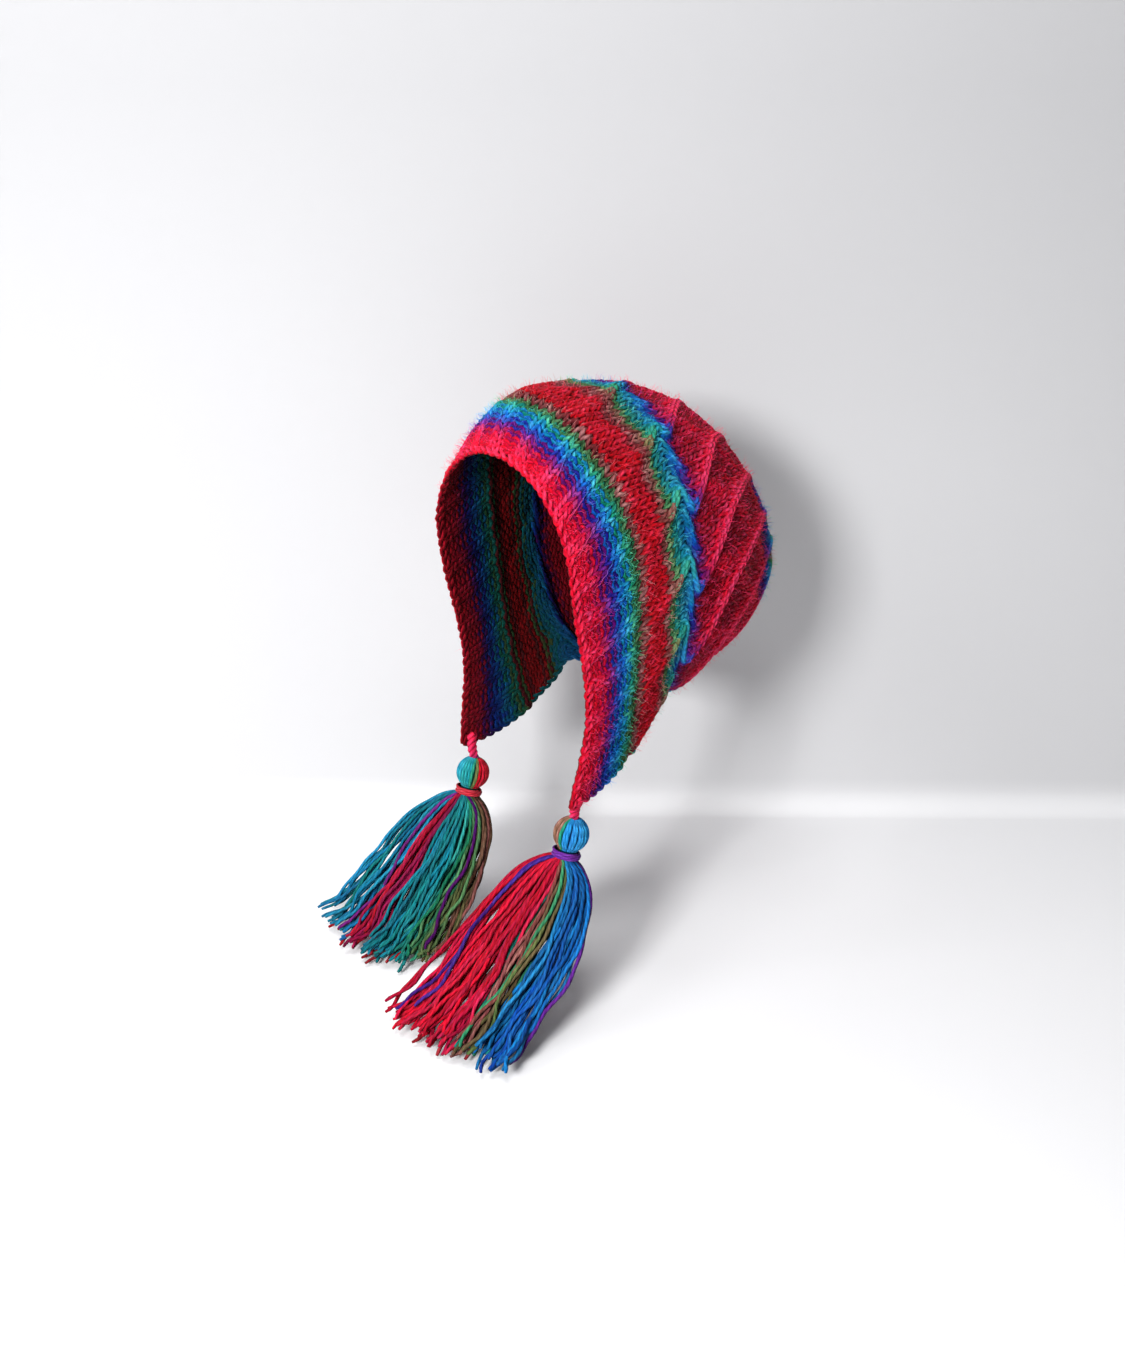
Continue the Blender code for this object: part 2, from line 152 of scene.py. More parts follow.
# Stitches
YARN_RADIUS = 0.00155
STITCH_WIDTH = 0.0072
ROW_PITCH = 0.0044
LOOP_REACH = 0.88
LOOP_SWING = 0.262
LOOP_DEPTH = 0.00075
WALL_MIDDLE = 0.0023
LOOP_STEPS = 12
YARN_SIDES = 5
RIB_HEIGHT = 0.0009
RIB_PERIOD = 0.5
RIB_LAST_REPEAT = 5.6
RIB_HALF_REPEATS = 0.27
FAINT_RIB_SHARE = 0.7
FIRST_CHAIN_ROW = 15
LAST_CHAIN_ROW = 56
PALE_CHAIN_ROW = 21.5
STRIPE_ROW = 17.0
VALLEY_ROW = 9.7
VALLEY_DEPTH = 0.0016
VALLEY_ROWS = 0.7
STITCHES_PER_REPEAT = 7
FIRST_NARROW_ROW = 30.0
EDGE_ROW = 0.15
FLAP_BACK_ROW = 10.5
NAPE_TONE_ROW = 16.4
STRAY_LAST_REPEAT = 3.9

# Where the band's ribs and the scallops come and go, in rows, and how far the scallops reach
BAND_FADE_BEFORE = 0.3
BAND_FADE_AFTER = 0.5
TIP_FADE_REPEATS = 0.3
RIB_MEAN = 0.45
BAND_SCALLOP = 0.20
BAND_SCALLOP_START = 7.0
BAND_SCALLOP_END = (9.5, 11.0)
BODY_SCALLOP = 0.75
STRIPE_SCALLOP = 0.50
STRIPE_SCALLOP_ROWS = 4.5
BODY_SCALLOP_END = (44.0, 58.0)

# Share of the light that reaches the fabric's hollows
BAND_GROOVE_LIGHT = 0.80
BODY_HOLLOW_LIGHT = 0.72
BODY_HOLLOW_FALL = 0.24
BODY_HOLLOW_FALL_ROWS = (12.0, 26.0)
VALLEY_SHADE = 0.35

# The hat's girth along its rows, which sets how many loose fibres lie there
GIRTH_ROWS = (0.0, 30.0, 42.0, 54.0, 60.0)
GIRTH_SHARES = (1.0, 1.0, 0.7, 0.3, 0.1)

# Share of lit colour, a painted highlight, at a loose fibre's three root, three middle and one tip
# corners
FIBRE_HIGHLIGHT = (0.0, 0.0, 0.0, 0.5, 0.5, 0.5, 1.0)

# Where in the yarn's colour cycle each knitted row lies, from the face edge to the gather
STRIPE_ROWS = (
    0.0, 3.1, 3.8, 4.6, 5.3, 6.1, 7.0, 7.9, 8.8, 9.4, 9.8, 10.6, 11.1, 13.7, 14.2, 15.0, 15.6,
    16.4, 17.4, 18.3, 18.8, 19.4, 20.2, 21.6, 39.5, 41.5, 43.5, 45.5, 47.5, 49.5, 51.5, 54.0, 60.0,
)
STRIPE_TONES = (
    0.00, 0.03, 0.12, 0.20, 0.29, 0.36, 0.46, 0.56, 0.66, 0.70, 0.86, 0.91, 1.00, 1.00, 0.91, 0.84, 0.66,
    0.57, 0.51, 0.44, 0.33, 0.20, 0.10, 0.01, 0.00, 0.15, 0.30, 0.42, 0.55, 0.68, 0.84, 1.00, 1.00,
)


def linear(red: int, green: int, blue: int) -> tuple[float, float, float, float]:
    """Turns a colour as a screen shows it into linear light.

    Args:
        red: Red from 0 to 255.
        green: Green from 0 to 255.
        blue: Blue from 0 to 255.

    Returns:
        The colour in linear light, with an alpha of 1.
    """
    shares = [channel / 255.0 for channel in (red, green, blue)]
    light = [s / 12.92 if s <= 0.04045 else ((s + 0.055) / 1.055) ** 2.4 for s in shares]
    return (light[0], light[1], light[2], 1.0)


# One line for each colour of the yarn's cycle: its place from 0 to 1, the colour, and its paler colour,
# for the yarn's pale fibres and for painted highlights
YARN_CYCLE = (
    (0.00, (222, 0, 34), (255, 80, 132)),
    (0.11, (118, 0, 76), (226, 82, 160)),
    (0.20, (76, 0, 118), (168, 92, 214)),
    (0.29, (24, 12, 132), (104, 128, 242)),
    (0.36, (0, 62, 178), (70, 180, 252)),
    (0.46, (0, 118, 192), (96, 214, 250)),
    (0.56, (0, 124, 136), (90, 228, 222)),
    (0.66, (0, 126, 84), (124, 232, 170)),
    (0.76, (84, 106, 54), (192, 206, 142)),
    (0.84, (112, 48, 42), (224, 180, 160)),
    (0.92, (124, 6, 28), (242, 168, 172)),
    (1.00, (186, 0, 12), (255, 60, 98)),
)


class Side(Enum):
    """The two sides of the hat, as the wearer has them."""

    LEFT = 1.0
    RIGHT = -1.0

    @property
    def word(self) -> str:
        """Returns the side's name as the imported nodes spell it."""
        return self.name.lower()


def monotone(knots: np.ndarray, values: np.ndarray, at: np.ndarray) -> np.ndarray:
    """Follows a smooth curve through knots that never swings past their values.

    Args:
        knots: Rising places of the knots.
        values: The curve's value at each knot.
        at: Places to read.

    Returns:
        The curve's values at those places.
    """
    knots = np.asarray(knots, dtype=float)
    values = np.asarray(values, dtype=float)
    steps = np.diff(knots)
    slopes = np.diff(values) / steps
    tangents = np.concatenate(([slopes[0]], np.zeros(len(knots) - 2), [slopes[-1]]))
    for i in range(1, len(knots) - 1):
        before, after = slopes[i - 1], slopes[i]
        if before * after > 0.0:
            near = 2.0 * steps[i] + steps[i - 1]
            far = steps[i] + 2.0 * steps[i - 1]
            tangents[i] = (near + far) / (near / before + far / after)
    at = np.clip(np.asarray(at, dtype=float), knots[0], knots[-1])
    i = np.clip(np.searchsorted(knots, at, side="right") - 1, 0, len(steps) - 1)
    t = (at - knots[i]) / steps[i]
    start = (1.0 + 2.0 * t) * (1.0 - t) ** 2 * values[i] + t * (1.0 - t) ** 2 * steps[i] * tangents[i]
    end = t**2 * (3.0 - 2.0 * t) * values[i + 1] + t**2 * (t - 1.0) * steps[i] * tangents[i + 1]
    return start + end


def unit(vectors: np.ndarray) -> np.ndarray:
    """Returns the vectors at length 1."""
    return vectors / np.maximum(np.linalg.norm(vectors, axis=-1, keepdims=True), 1e-12)


def smooth_step(low: float, high: float, at: np.ndarray) -> np.ndarray:
    """Rises smoothly from 0 to 1.

    Args:
        low: Where it leaves 0.
        high: Where it reaches 1.
        at: Places to read.

    Returns:
        The values at those places.
    """
    t = np.clip((np.asarray(at, dtype=float) - low) / (high - low), 0.0, 1.0)
    return t * t * (3.0 - 2.0 * t)


def run_length(points: np.ndarray) -> np.ndarray:
    """Returns how far along a line each of its points lies."""
    return np.concatenate(([0.0], np.cumsum(np.linalg.norm(np.diff(points, axis=0), axis=1))))


def around(angle: np.ndarray, first: np.ndarray, second: np.ndarray) -> np.ndarray:
    """Returns the directions that turn by an angle from the first one toward the second."""
    return np.cos(angle)[:, None] * first + np.sin(angle)[:, None] * second


def add_object(name: str, data: bpy.types.ID) -> bpy.types.Object:
    """Puts a new object in the scene.

    Args:
        name: Name of the object.
        data: Its mesh, camera or light.

    Returns:
        The object.
    """
    made = bpy.data.objects.new(name, data)
    bpy.context.scene.collection.objects.link(made)
    return made


def set_attribute(mesh: bpy.types.Mesh, name: str, values: np.ndarray) -> None:
    """Stores one number for each vertex of a mesh, for its material to read."""
    layer = mesh.attributes.new(name, "FLOAT", "POINT")
    layer.data.foreach_set("value", np.ascontiguousarray(values, dtype=np.float32))


@dataclass
class HatSurface:
    """The knitted body's smooth outer surface, read at any row and lattice repeat."""

    row_step: float = 0.25
    repeat_step: float = 1.0 / 24.0
    arch_steps: int = 25
    hang_steps: int = 33
    lean_steps: int = 401
    jaw_share: float = 0.6
    steps_outside: float = 8.0
    rows: np.ndarray = field(init=False)
    repeats: np.ndarray = field(init=False)
    places: np.ndarray = field(init=False)
    normals: np.ndarray = field(init=False)

    def __post_init__(self) -> None:
        """Samples the surface once, so that every stitch reads the same grid."""
        self.rows = np.arange(0.0, LAST_ROW + 0.001, self.row_step)
        self.repeats = np.arange(-REPEATS, REPEATS + 0.001, self.repeat_step)
        self.places = np.array([self.row_points(row) for row in self.rows])
        across = np.gradient(self.places, axis=1)
        back = np.gradient(self.places, axis=0)
        self.normals = unit(np.cross(across, back))

    def share(self, row: float, name: str) -> float:
        """Reads the row table between its rows.

        Args:
            row: Row number from the face edge.
            name: Name of the table's column.

        Returns:
            The column's share at that row.
        """
        place = ROW_COLUMNS.index(name)
        rows = [line[0] for line in ROW_TABLE]
        return float(monotone(rows, [line[place] for line in ROW_TABLE], row))

    def half_row(self, row: float) -> np.ndarray:
        """Follows half a row from the top of the hat to its lower end.

        Args:
            row: Row number from the face edge.

        Returns:
            Points on the wearer's left, from the top down.
        """
        width = self.share(row, "half_width") * HAT_HALF_WIDTH
        end_x = self.share(row, "end_out") * HAT_HALF_WIDTH
        top_z = CROWN_TOP - self.share(row, "top_drop") * HAT_DROP
        side_z = CROWN_TOP - self.share(row, "side_drop") * HAT_DROP
        end_z = CROWN_TOP - self.share(row, "end_drop") * HAT_DROP
        closed = self.share(row, "closed")
        quarter = np.linspace(0.0, math.pi / 2.0, self.arch_steps)
        over_x = width * np.sin(quarter)
        over_z = side_z + (top_z - side_z) * np.cos(quarter)
        t = np.linspace(0.0, 1.0, self.hang_steps)[1:]
        hang_x = width - (width - end_x) * t**2
        hang_z = side_z - (side_z - end_z) * t
        ring_x = width * np.maximum(np.cos(t * math.pi / 2.0), 0.0) ** self.share(row, "roundness")
        ring_z = side_z - (side_z - end_z) * np.sin(t * math.pi / 2.0)
        x = np.concatenate((over_x, (1.0 - closed) * hang_x + closed * ring_x))
        z = np.concatenate((over_z, (1.0 - closed) * hang_z + closed * ring_z))
        along = np.concatenate(([0.0], np.cumsum(np.hypot(np.diff(x), np.diff(z)))))
        side = along[len(quarter) - 1]
        knots = (0.0, side, side + self.jaw_share * (along[-1] - side), along[-1])
        names = ("top_back", "side_back", "jaw_back", "end_back")
        backs = [self.share(row, name) for name in names]
        y = monotone(knots, backs, along) * HAT_DEPTH - FACE_SETBACK
        return np.stack((x, y, z), axis=1)

    def row_points(self, row: float) -> np.ndarray:
        """Follows one whole row.

        Args:
            row: Row number from the face edge.

        Returns:
            One point for each sampled repeat.
        """
        curve = self.half_row(row)
        along = run_length(curve)
        lean = LEAN_PER_ROW * (min(max(row, LATTICE_NODE_ROW), LEAN_LAST_ROW) - LATTICE_NODE_ROW)
        shares = np.linspace(0.0, 1.0, self.lean_steps)
        passed = REPEATS * shares + lean * np.sin(math.pi * shares)
        share = np.interp(np.abs(self.repeats), passed, shares)
        x, y, z = (np.interp(share * along[-1], along, curve[:, axis]) for axis in range(3))
        return np.stack((np.copysign(x, self.repeats), y, z), axis=1)

    def read(self, grid: np.ndarray, row: np.ndarray, repeat: np.ndarray) -> np.ndarray:
        """Reads a sampled grid between its samples.

        Args:
            grid: Rows by repeats by 3.
            row: Row numbers, which may lie a little outside the hat.
            repeat: Lattice repeats from the top.

        Returns:
            One value for each row and repeat given.
        """
        r = np.asarray(row, dtype=float) / self.row_step
        c = (np.asarray(repeat, dtype=float) + REPEATS) / self.repeat_step
        i = np.clip(np.floor(r).astype(int), 0, len(self.rows) - 2)
        j = np.clip(np.floor(c).astype(int), 0, len(self.repeats) - 2)
        u = np.clip(r - i, -self.steps_outside, self.steps_outside)[..., None]
        v = np.clip(c - j, 0.0, 1.0)[..., None]
        near = grid[i, j] * (1.0 - v) + grid[i, j + 1] * v
        far = grid[i + 1, j] * (1.0 - v) + grid[i + 1, j + 1] * v
        return near * (1.0 - u) + far * u

    def at(self, row: np.ndarray, repeat: np.ndarray, height: np.ndarray) -> np.ndarray:
        """Returns points at a height above the surface."""
        normal = unit(self.read(self.normals, np.clip(row, 0.0, LAST_ROW), repeat))
        return self.read(self.places, row, repeat) + normal * np.asarray(height)[..., None]

    def normal(self, row: np.ndarray, repeat: np.ndarray) -> np.ndarray:
        """Returns outward normals."""
        return unit(self.read(self.normals, np.clip(row, 0.0, LAST_ROW), repeat))


class Relief:
    """Heights and waves of the ribs over the smooth surface."""

    @staticmethod
    def rib(repeat: np.ndarray) -> np.ndarray:
        """Returns 1 on the band's raised ribs and -1 in its grooves."""
        return np.cos(2.0 * math.pi * (repeat - RIB_PERIOD / 4.0) / RIB_PERIOD)

    @staticmethod
    def crossing(row: np.ndarray, repeat: np.ndarray, direction: float) -> np.ndarray:
        """Finds how much a point lies on one family of slanting ribs.

        Args:
            row: Row numbers.
            repeat: Lattice repeats from the top.
            direction: 1 or -1, the way that the ribs slant.

        Returns:
            1 on the middle of a rib, 0 away from it.
        """
        shift = direction * (row - LATTICE_NODE_ROW) / LATTICE_ROWS
        away = np.abs(np.mod(repeat + shift, 1.0) - 0.5)
        return np.cos(np.clip(away / RIB_HALF_REPEATS, 0.0, 1.0) * math.pi / 2.0) ** 2

    @classmethod
    def lattice(cls, row: np.ndarray, repeat: np.ndarray) -> np.ndarray:
        """Finds how much a point lies on the body's crossing ribs.

        Args:
            row: Row numbers.
            repeat: Lattice repeats from the top.

        Returns:
            The ribs' share of their full height, from 0 to 1.
        """
        swell = monotone(SWELL_ROWS, SWELL_SHARES, row)
        strong = cls.crossing(row, repeat, 1.0)
        faint = FAINT_RIB_SHARE * cls.crossing(row, repeat, -1.0)
        return swell * np.maximum(strong, faint)

    @staticmethod
    def on_band(row: np.ndarray) -> np.ndarray:
        """Returns 1 on the band's rows, falling to 0 on the body's."""
        first, last = BAND_LAST_ROW - BAND_FADE_BEFORE, BAND_LAST_ROW + BAND_FADE_AFTER
        return 1.0 - smooth_step(first, last, row)

    @staticmethod
    def valley(row: np.ndarray) -> np.ndarray:
        """Returns 1 in the groove between band and body, 0 away from it."""
        return np.exp(-(((row - VALLEY_ROW) / VALLEY_ROWS) ** 2))

    @classmethod
    def height(cls, row: np.ndarray, repeat: np.ndarray) -> np.ndarray:
        """Works out the fabric's relief.

        Args:
            row: Row numbers.
            repeat: Lattice repeats from the top.

        Returns:
            Heights above the smooth surface.
        """
        tips = 1.0 - smooth_step(RIB_LAST_REPEAT - TIP_FADE_REPEATS, REPEATS, np.abs(repeat))
        share = RIB_MEAN + (1.0 - RIB_MEAN) * cls.rib(repeat)
        ribs = RIB_HEIGHT * share * cls.on_band(row) * tips
        return ribs - VALLEY_DEPTH * cls.valley(row) + LATTICE_HEIGHT * cls.lattice(row, repeat)

    @classmethod
    def open_light(cls, row: np.ndarray, repeat: np.ndarray) -> np.ndarray:
        """Works out how open the fabric lies to the light.

        Args:
            row: Row numbers.
            repeat: Lattice repeats from the top.

        Returns:
            1 on its ridges, less down in its hollows.
        """
        on_band = cls.on_band(row)
        band = BAND_GROOVE_LIGHT + (1.0 - BAND_GROOVE_LIGHT) * (0.5 + 0.5 * cls.rib(repeat))
        hollow = BODY_HOLLOW_LIGHT - BODY_HOLLOW_FALL * smooth_step(*BODY_HOLLOW_FALL_ROWS, row)
        body = hollow + (1.0 - hollow) * cls.lattice(row, repeat)
        valley = 1.0 - VALLEY_SHADE * cls.valley(row)
        return (band * on_band + body * (1.0 - on_band)) * valley

    @classmethod
    def wave(cls, row: np.ndarray, repeat: np.ndarray) -> np.ndarray:
        """Works out how the ribs pull the rows of knitting out of line.

        Args:
            row: Row numbers.
            repeat: Lattice repeats from the top.

        Returns:
            How many rows each point moves toward the gather.
        """
        band = BAND_SCALLOP * smooth_step(BAND_SCALLOP_START, BAND_LAST_ROW, row)
        band = band * (1.0 - smooth_step(*BAND_SCALLOP_END, row))
        on_stripe = np.exp(-(((row - STRIPE_ROW) / STRIPE_SCALLOP_ROWS) ** 2))
        scallops = BODY_SCALLOP + STRIPE_SCALLOP * on_stripe
        body = scallops * (1.0 - smooth_step(*BODY_SCALLOP_END, row))
        return band * cls.rib(repeat) + body * cls.lattice(row, repeat)


@dataclass
class YarnMesh:
    """Many yarns joined into one mesh, each a round tube with its own colour along it."""

    sides: int = YARN_SIDES
    verts: list = field(default_factory=list)
    faces: list = field(default_factory=list)
    caps: list = field(default_factory=list)
    uvs: list = field(default_factory=list)
    tones: list = field(default_factory=list)
    lights: list = field(default_factory=list)
    count: int = 0

    def add(
        self,
        path: np.ndarray,
        outward: np.ndarray,
        radius: np.ndarray,
        tone: np.ndarray,
        light: np.ndarray,
        closed: bool = False,
        shade: np.ndarray | float = 1.0,
    ) -> None:
        """Sweeps one yarn.

        Args:
            path: Centre line, one point a line.
            outward: Direction at each point that faces out of the fabric.
            radius: Yarn radius at each point.
            tone: Place in the colour cycle at each point.
            light: Share of painted highlight at each point, kept to the yarn's outward side.
            closed: True where the yarn joins its own start.
            shade: Share of the light that reaches each point past the fabric's ridges.
        """
        count = len(path)
        if closed:
            along = np.roll(path, -1, axis=0) - np.roll(path, 1, axis=0)
        else:
            along = np.gradient(path, axis=0)
        along = unit(along)
        up = unit(outward - (outward * along).sum(1, keepdims=True) * along)
        beside = np.cross(along, up)
        angles = 2.0 * math.pi * np.arange(self.sides) / self.sides
        turned = np.stack((np.cos(angles), np.sin(angles)))[:, None, :, None]
        ring = turned[0] * up[:, None] + turned[1] * beside[:, None]
        radius = np.broadcast_to(radius, (count,))
        self.verts.append((path[:, None] + ring * radius[:, None, None]).reshape(-1, 3))
        # Painted light: the outward side of each ring takes the painted highlight, and the inward side
        # is painted in shade through its rise.
        rises = np.broadcast_to(0.5 + 0.5 * np.cos(angles)[None], (count, self.sides))
        lights = np.broadcast_to(light, (count,))[:, None] * rises
        rises = rises * np.broadcast_to(shade, (count,))[:, None]
        self.tones.append(np.repeat(np.broadcast_to(tone, (count,)), self.sides))
        self.lights.append(np.stack((lights.ravel(), rises.ravel()), axis=1))

        rings = count if closed else count - 1
        i = np.arange(rings)[:, None]
        j = np.arange(self.sides)[None]
        after = (i + 1) % count
        beyond = (j + 1) % self.sides
        here, there = i * self.sides, after * self.sides
        corners = (here + j, here + beyond, there + beyond, there + j)
        quads = np.stack([np.broadcast_to(c, (rings, self.sides)) for c in corners], axis=-1)
        self.faces.append(quads.reshape(-1, 4) + self.count)
        run = run_length(path)
        if closed:
            run = np.append(run, run[-1] + np.linalg.norm(path[0] - path[-1]))
        u0 = np.broadcast_to(run[:rings, None], (rings, self.sides))
        u1 = np.broadcast_to(run[1 : rings + 1, None], (rings, self.sides))
        v0 = np.broadcast_to(j / self.sides, (rings, self.sides))
        v1 = v0 + 1.0 / self.sides
        corners_uv = np.stack((u0, v0, u0, v1, u1, v1, u1, v0), axis=-1)
        self.uvs.append(corners_uv.reshape(-1, 2))
        if not closed:
            start = np.arange(self.sides)[::-1] + self.count
            end = np.arange(self.sides) + self.count + (count - 1) * self.sides
            self.caps += [start, end]
        self.count += count * self.sides

    def build(self, name: str) -> bpy.types.Object:
        """Joins the yarns into one smooth mesh.

        Args:
            name: Name of the piece.

        Returns:
            The new object, already in the scene.
        """
        verts = np.concatenate(self.verts).astype(np.float32)
        quads = np.concatenate(self.faces)
        caps = np.array(self.caps, dtype=int).reshape(-1, self.sides)
        corners = np.concatenate((quads.ravel(), caps.ravel()))
        sizes = np.concatenate((np.full(len(quads), 4), np.full(len(caps), self.sides)))
        mesh = bpy.data.meshes.new(name)
        mesh.vertices.add(len(verts))
        mesh.vertices.foreach_set("co", verts.ravel())
        mesh.loops.add(len(corners))
        mesh.loops.foreach_set("vertex_index", corners.astype(np.int32))
        mesh.polygons.add(len(sizes))
        starts = np.concatenate(([0], np.cumsum(sizes)[:-1])).astype(np.int32)
        mesh.polygons.foreach_set("loop_start", starts)
        mesh.polygons.foreach_set("use_smooth", np.ones(len(sizes), dtype=bool))
        mesh.update(calc_edges=True)
        layer = mesh.uv_layers.new(name="yarn")
        spread = np.concatenate((np.concatenate(self.uvs), np.zeros((caps.size, 2))))
        layer.uv.foreach_set("vector", spread.ravel().astype(np.float32))
        lights = np.concatenate(self.lights)
        set_attribute(mesh, "tone", np.concatenate(self.tones))
        # The light attribute holds the painted highlight, the rise attribute the painted shade.
        set_attribute(mesh, "light", lights[:, 0])
        set_attribute(mesh, "rise", lights[:, 1])
        return add_object(name, mesh)


def new_group(
    name: str, inputs: tuple, outputs: tuple
) -> tuple[bpy.types.NodeTree, bpy.types.Node, bpy.types.Node]:
    """Starts a shader node group with named sockets.

    Args:
        name: Name of the group.
        inputs: Name, socket type and default of each input.
        outputs: Name and socket type of each output.

    Returns:
        The group's tree, its input node and its output node.
    """
    tree = bpy.data.node_groups.new(name, "ShaderNodeTree")
    for label, kind, default in inputs:
        socket = tree.interface.new_socket(label, in_out="INPUT", socket_type=kind)
        if default is not None:
            socket.default_value = default
    for label, kind in outputs:
        tree.interface.new_socket(label, in_out="OUTPUT", socket_type=kind)
    return tree, tree.nodes.new("NodeGroupInput"), tree.nodes.new("NodeGroupOutput")


def math_node(
    tree: bpy.types.NodeTree,
    operation: str,
    first: Value,
    second: Value | None = None,
    third: Value | None = None,
) -> bpy.types.NodeSocket:
    """Adds a Math node.

    Args:
        tree: Node tree that takes it.
        operation: Blender's name of the operation.
        first: Socket or number for the first value.
        second: Socket or number for the second value, if it has one.
        third: Socket or number for the third value, if it has one.

    Returns:
        The node's output socket.
    """
    node = tree.nodes.new("ShaderNodeMath")
    node.operation = operation
    for socket, value in zip(node.inputs, (first, second, third)):
        if isinstance(value, (int, float)):
            socket.default_value = value
        elif value is not None:
            tree.links.new(value, socket)
    return node.outputs[0]


def colour_ramp(
    tree: bpy.types.NodeTree, factor: bpy.types.NodeSocket, stops: tuple
) -> bpy.types.NodeSocket:
    """Adds a Color Ramp node.

    Args:
        tree: Node tree that takes it.
        factor: Socket that drives the ramp.
        stops: Place and linear colour of each stop.

    Returns:
        The ramp's colour socket.
    """
    node = tree.nodes.new("ShaderNodeValToRGB")
    ramp = node.color_ramp
    while len(ramp.elements) < len(stops):
        ramp.elements.new(0.5)
    for element, (place, colour) in zip(ramp.elements, stops):
        element.position = place
        element.color = colour
    tree.links.new(factor, node.inputs["Fac"])
    return node.outputs["Color"]


def mix_colour(
    tree: bpy.types.NodeTree,
    factor: bpy.types.NodeSocket,
    first: bpy.types.NodeSocket,
    second: bpy.types.NodeSocket,
) -> bpy.types.NodeSocket:
    """Adds a Mix node for colours.

    Args:
        tree: Node tree that takes it.
        factor: Share of the second colour.
        first: First colour.
        second: Second colour.

    Returns:
        The mixed colour's socket.
    """
    node = tree.nodes.new("ShaderNodeMix")
    node.data_type = "RGBA"
    for place, socket in ((0, factor), (6, first), (7, second)):
        tree.links.new(socket, node.inputs[place])
    return node.outputs[2]


def clamped(tree: bpy.types.NodeTree, value: bpy.types.NodeSocket) -> bpy.types.NodeSocket:
    """Returns a value kept from 0 to 1."""
    return math_node(tree, "MINIMUM", math_node(tree, "MAXIMUM", value, 0.0), 1.0)


def feed(tree: bpy.types.NodeTree, node: bpy.types.Node, values: dict[str, Value]) -> None:
    """Fills a node's inputs by their names.

    Args:
        tree: Node tree that holds the node.
        node: The node.
        values: Number or socket for each named input.
    """
    for label, value in values.items():
        if isinstance(value, bpy.types.NodeSocket):
            tree.links.new(value, node.inputs[label])
        else:
            node.inputs[label].default_value = value


@dataclass(frozen=True)
class YarnFinish:
    """A soft, brushed wool yarn in the colours of its cycle."""

    name: str
    # depth sets how dark the painted shade gets, lit how strong the painted highlight is, and
    # twist_shade how dark the painted shade between the plies is
    depth: float = 0.30
    lit: float = 1.0
    heather: float = 0.55
    roughness: float = 0.62
    specular: float = 0.05
    sheen: float = 0.02
    sheen_roughness: float = 0.45
    plies: float = 2.0
    twist_pitch: float = 0.0052
    twist_shade: float = 0.38
    relief: float = 0.00045
    relief_strength: float = 0.9
    fibre_relief: float = 0.35

    def material(self, groups: dict[str, bpy.types.NodeTree]) -> bpy.types.Material:
        """Builds the yarn's material.

        Args:
            groups: The shared node groups by name.

        Returns:
            The new material.
        """
        material = bpy.data.materials.new(self.name)
        material.use_nodes = True
        tree = material.node_tree
        shader = tree.nodes["Principled BSDF"]
        feed(tree, shader, {
            "Roughness": self.roughness,
            "Specular IOR Level": self.specular,
            "Sheen Weight": self.sheen,
            "Sheen Roughness": self.sheen_roughness,
        })
        sockets = {}
        for label in ("tone", "light", "rise"):
            node = tree.nodes.new("ShaderNodeAttribute")
            node.attribute_name = label
            sockets[label] = node.outputs["Fac"]
        spread = tree.nodes.new("ShaderNodeUVMap")
        spread.uv_map = "yarn"
        fibres = tree.nodes.new("ShaderNodeGroup")
        fibres.node_tree = groups["yarn fibres"]
        feed(tree, fibres, {
            "Plies": self.plies,
            "Turns": 1.0 / self.twist_pitch,
            "Spread": spread.outputs["UV"],
        })
        colours = tree.nodes.new("ShaderNodeGroup")
        colours.node_tree = groups["yarn colours"]
        plies, streaks = fibres.outputs["Height"], fibres.outputs["Streaks"]
        feed(tree, colours, {
            "Tone": sockets["tone"],
            "Light": math_node(tree, "MULTIPLY", sockets["light"], self.lit),
            "Rise": sockets["rise"],
            "Streaks": streaks,
            "Twist": plies,
            "Depth": self.depth,
            "Heather": self.heather,
            "Twist Shade": self.twist_shade,
        })
        tree.links.new(colours.outputs["Color"], shader.inputs["Base Color"])
        if self.relief > 0.0:
            bump = tree.nodes.new("ShaderNodeBump")
            feed(tree, bump, {
                "Distance": self.relief,
                "Strength": self.relief_strength,
                "Height": math_node(tree, "MULTIPLY_ADD", streaks, self.fibre_relief, plies),
            })
            tree.links.new(bump.outputs["Normal"], shader.inputs["Normal"])
        return material


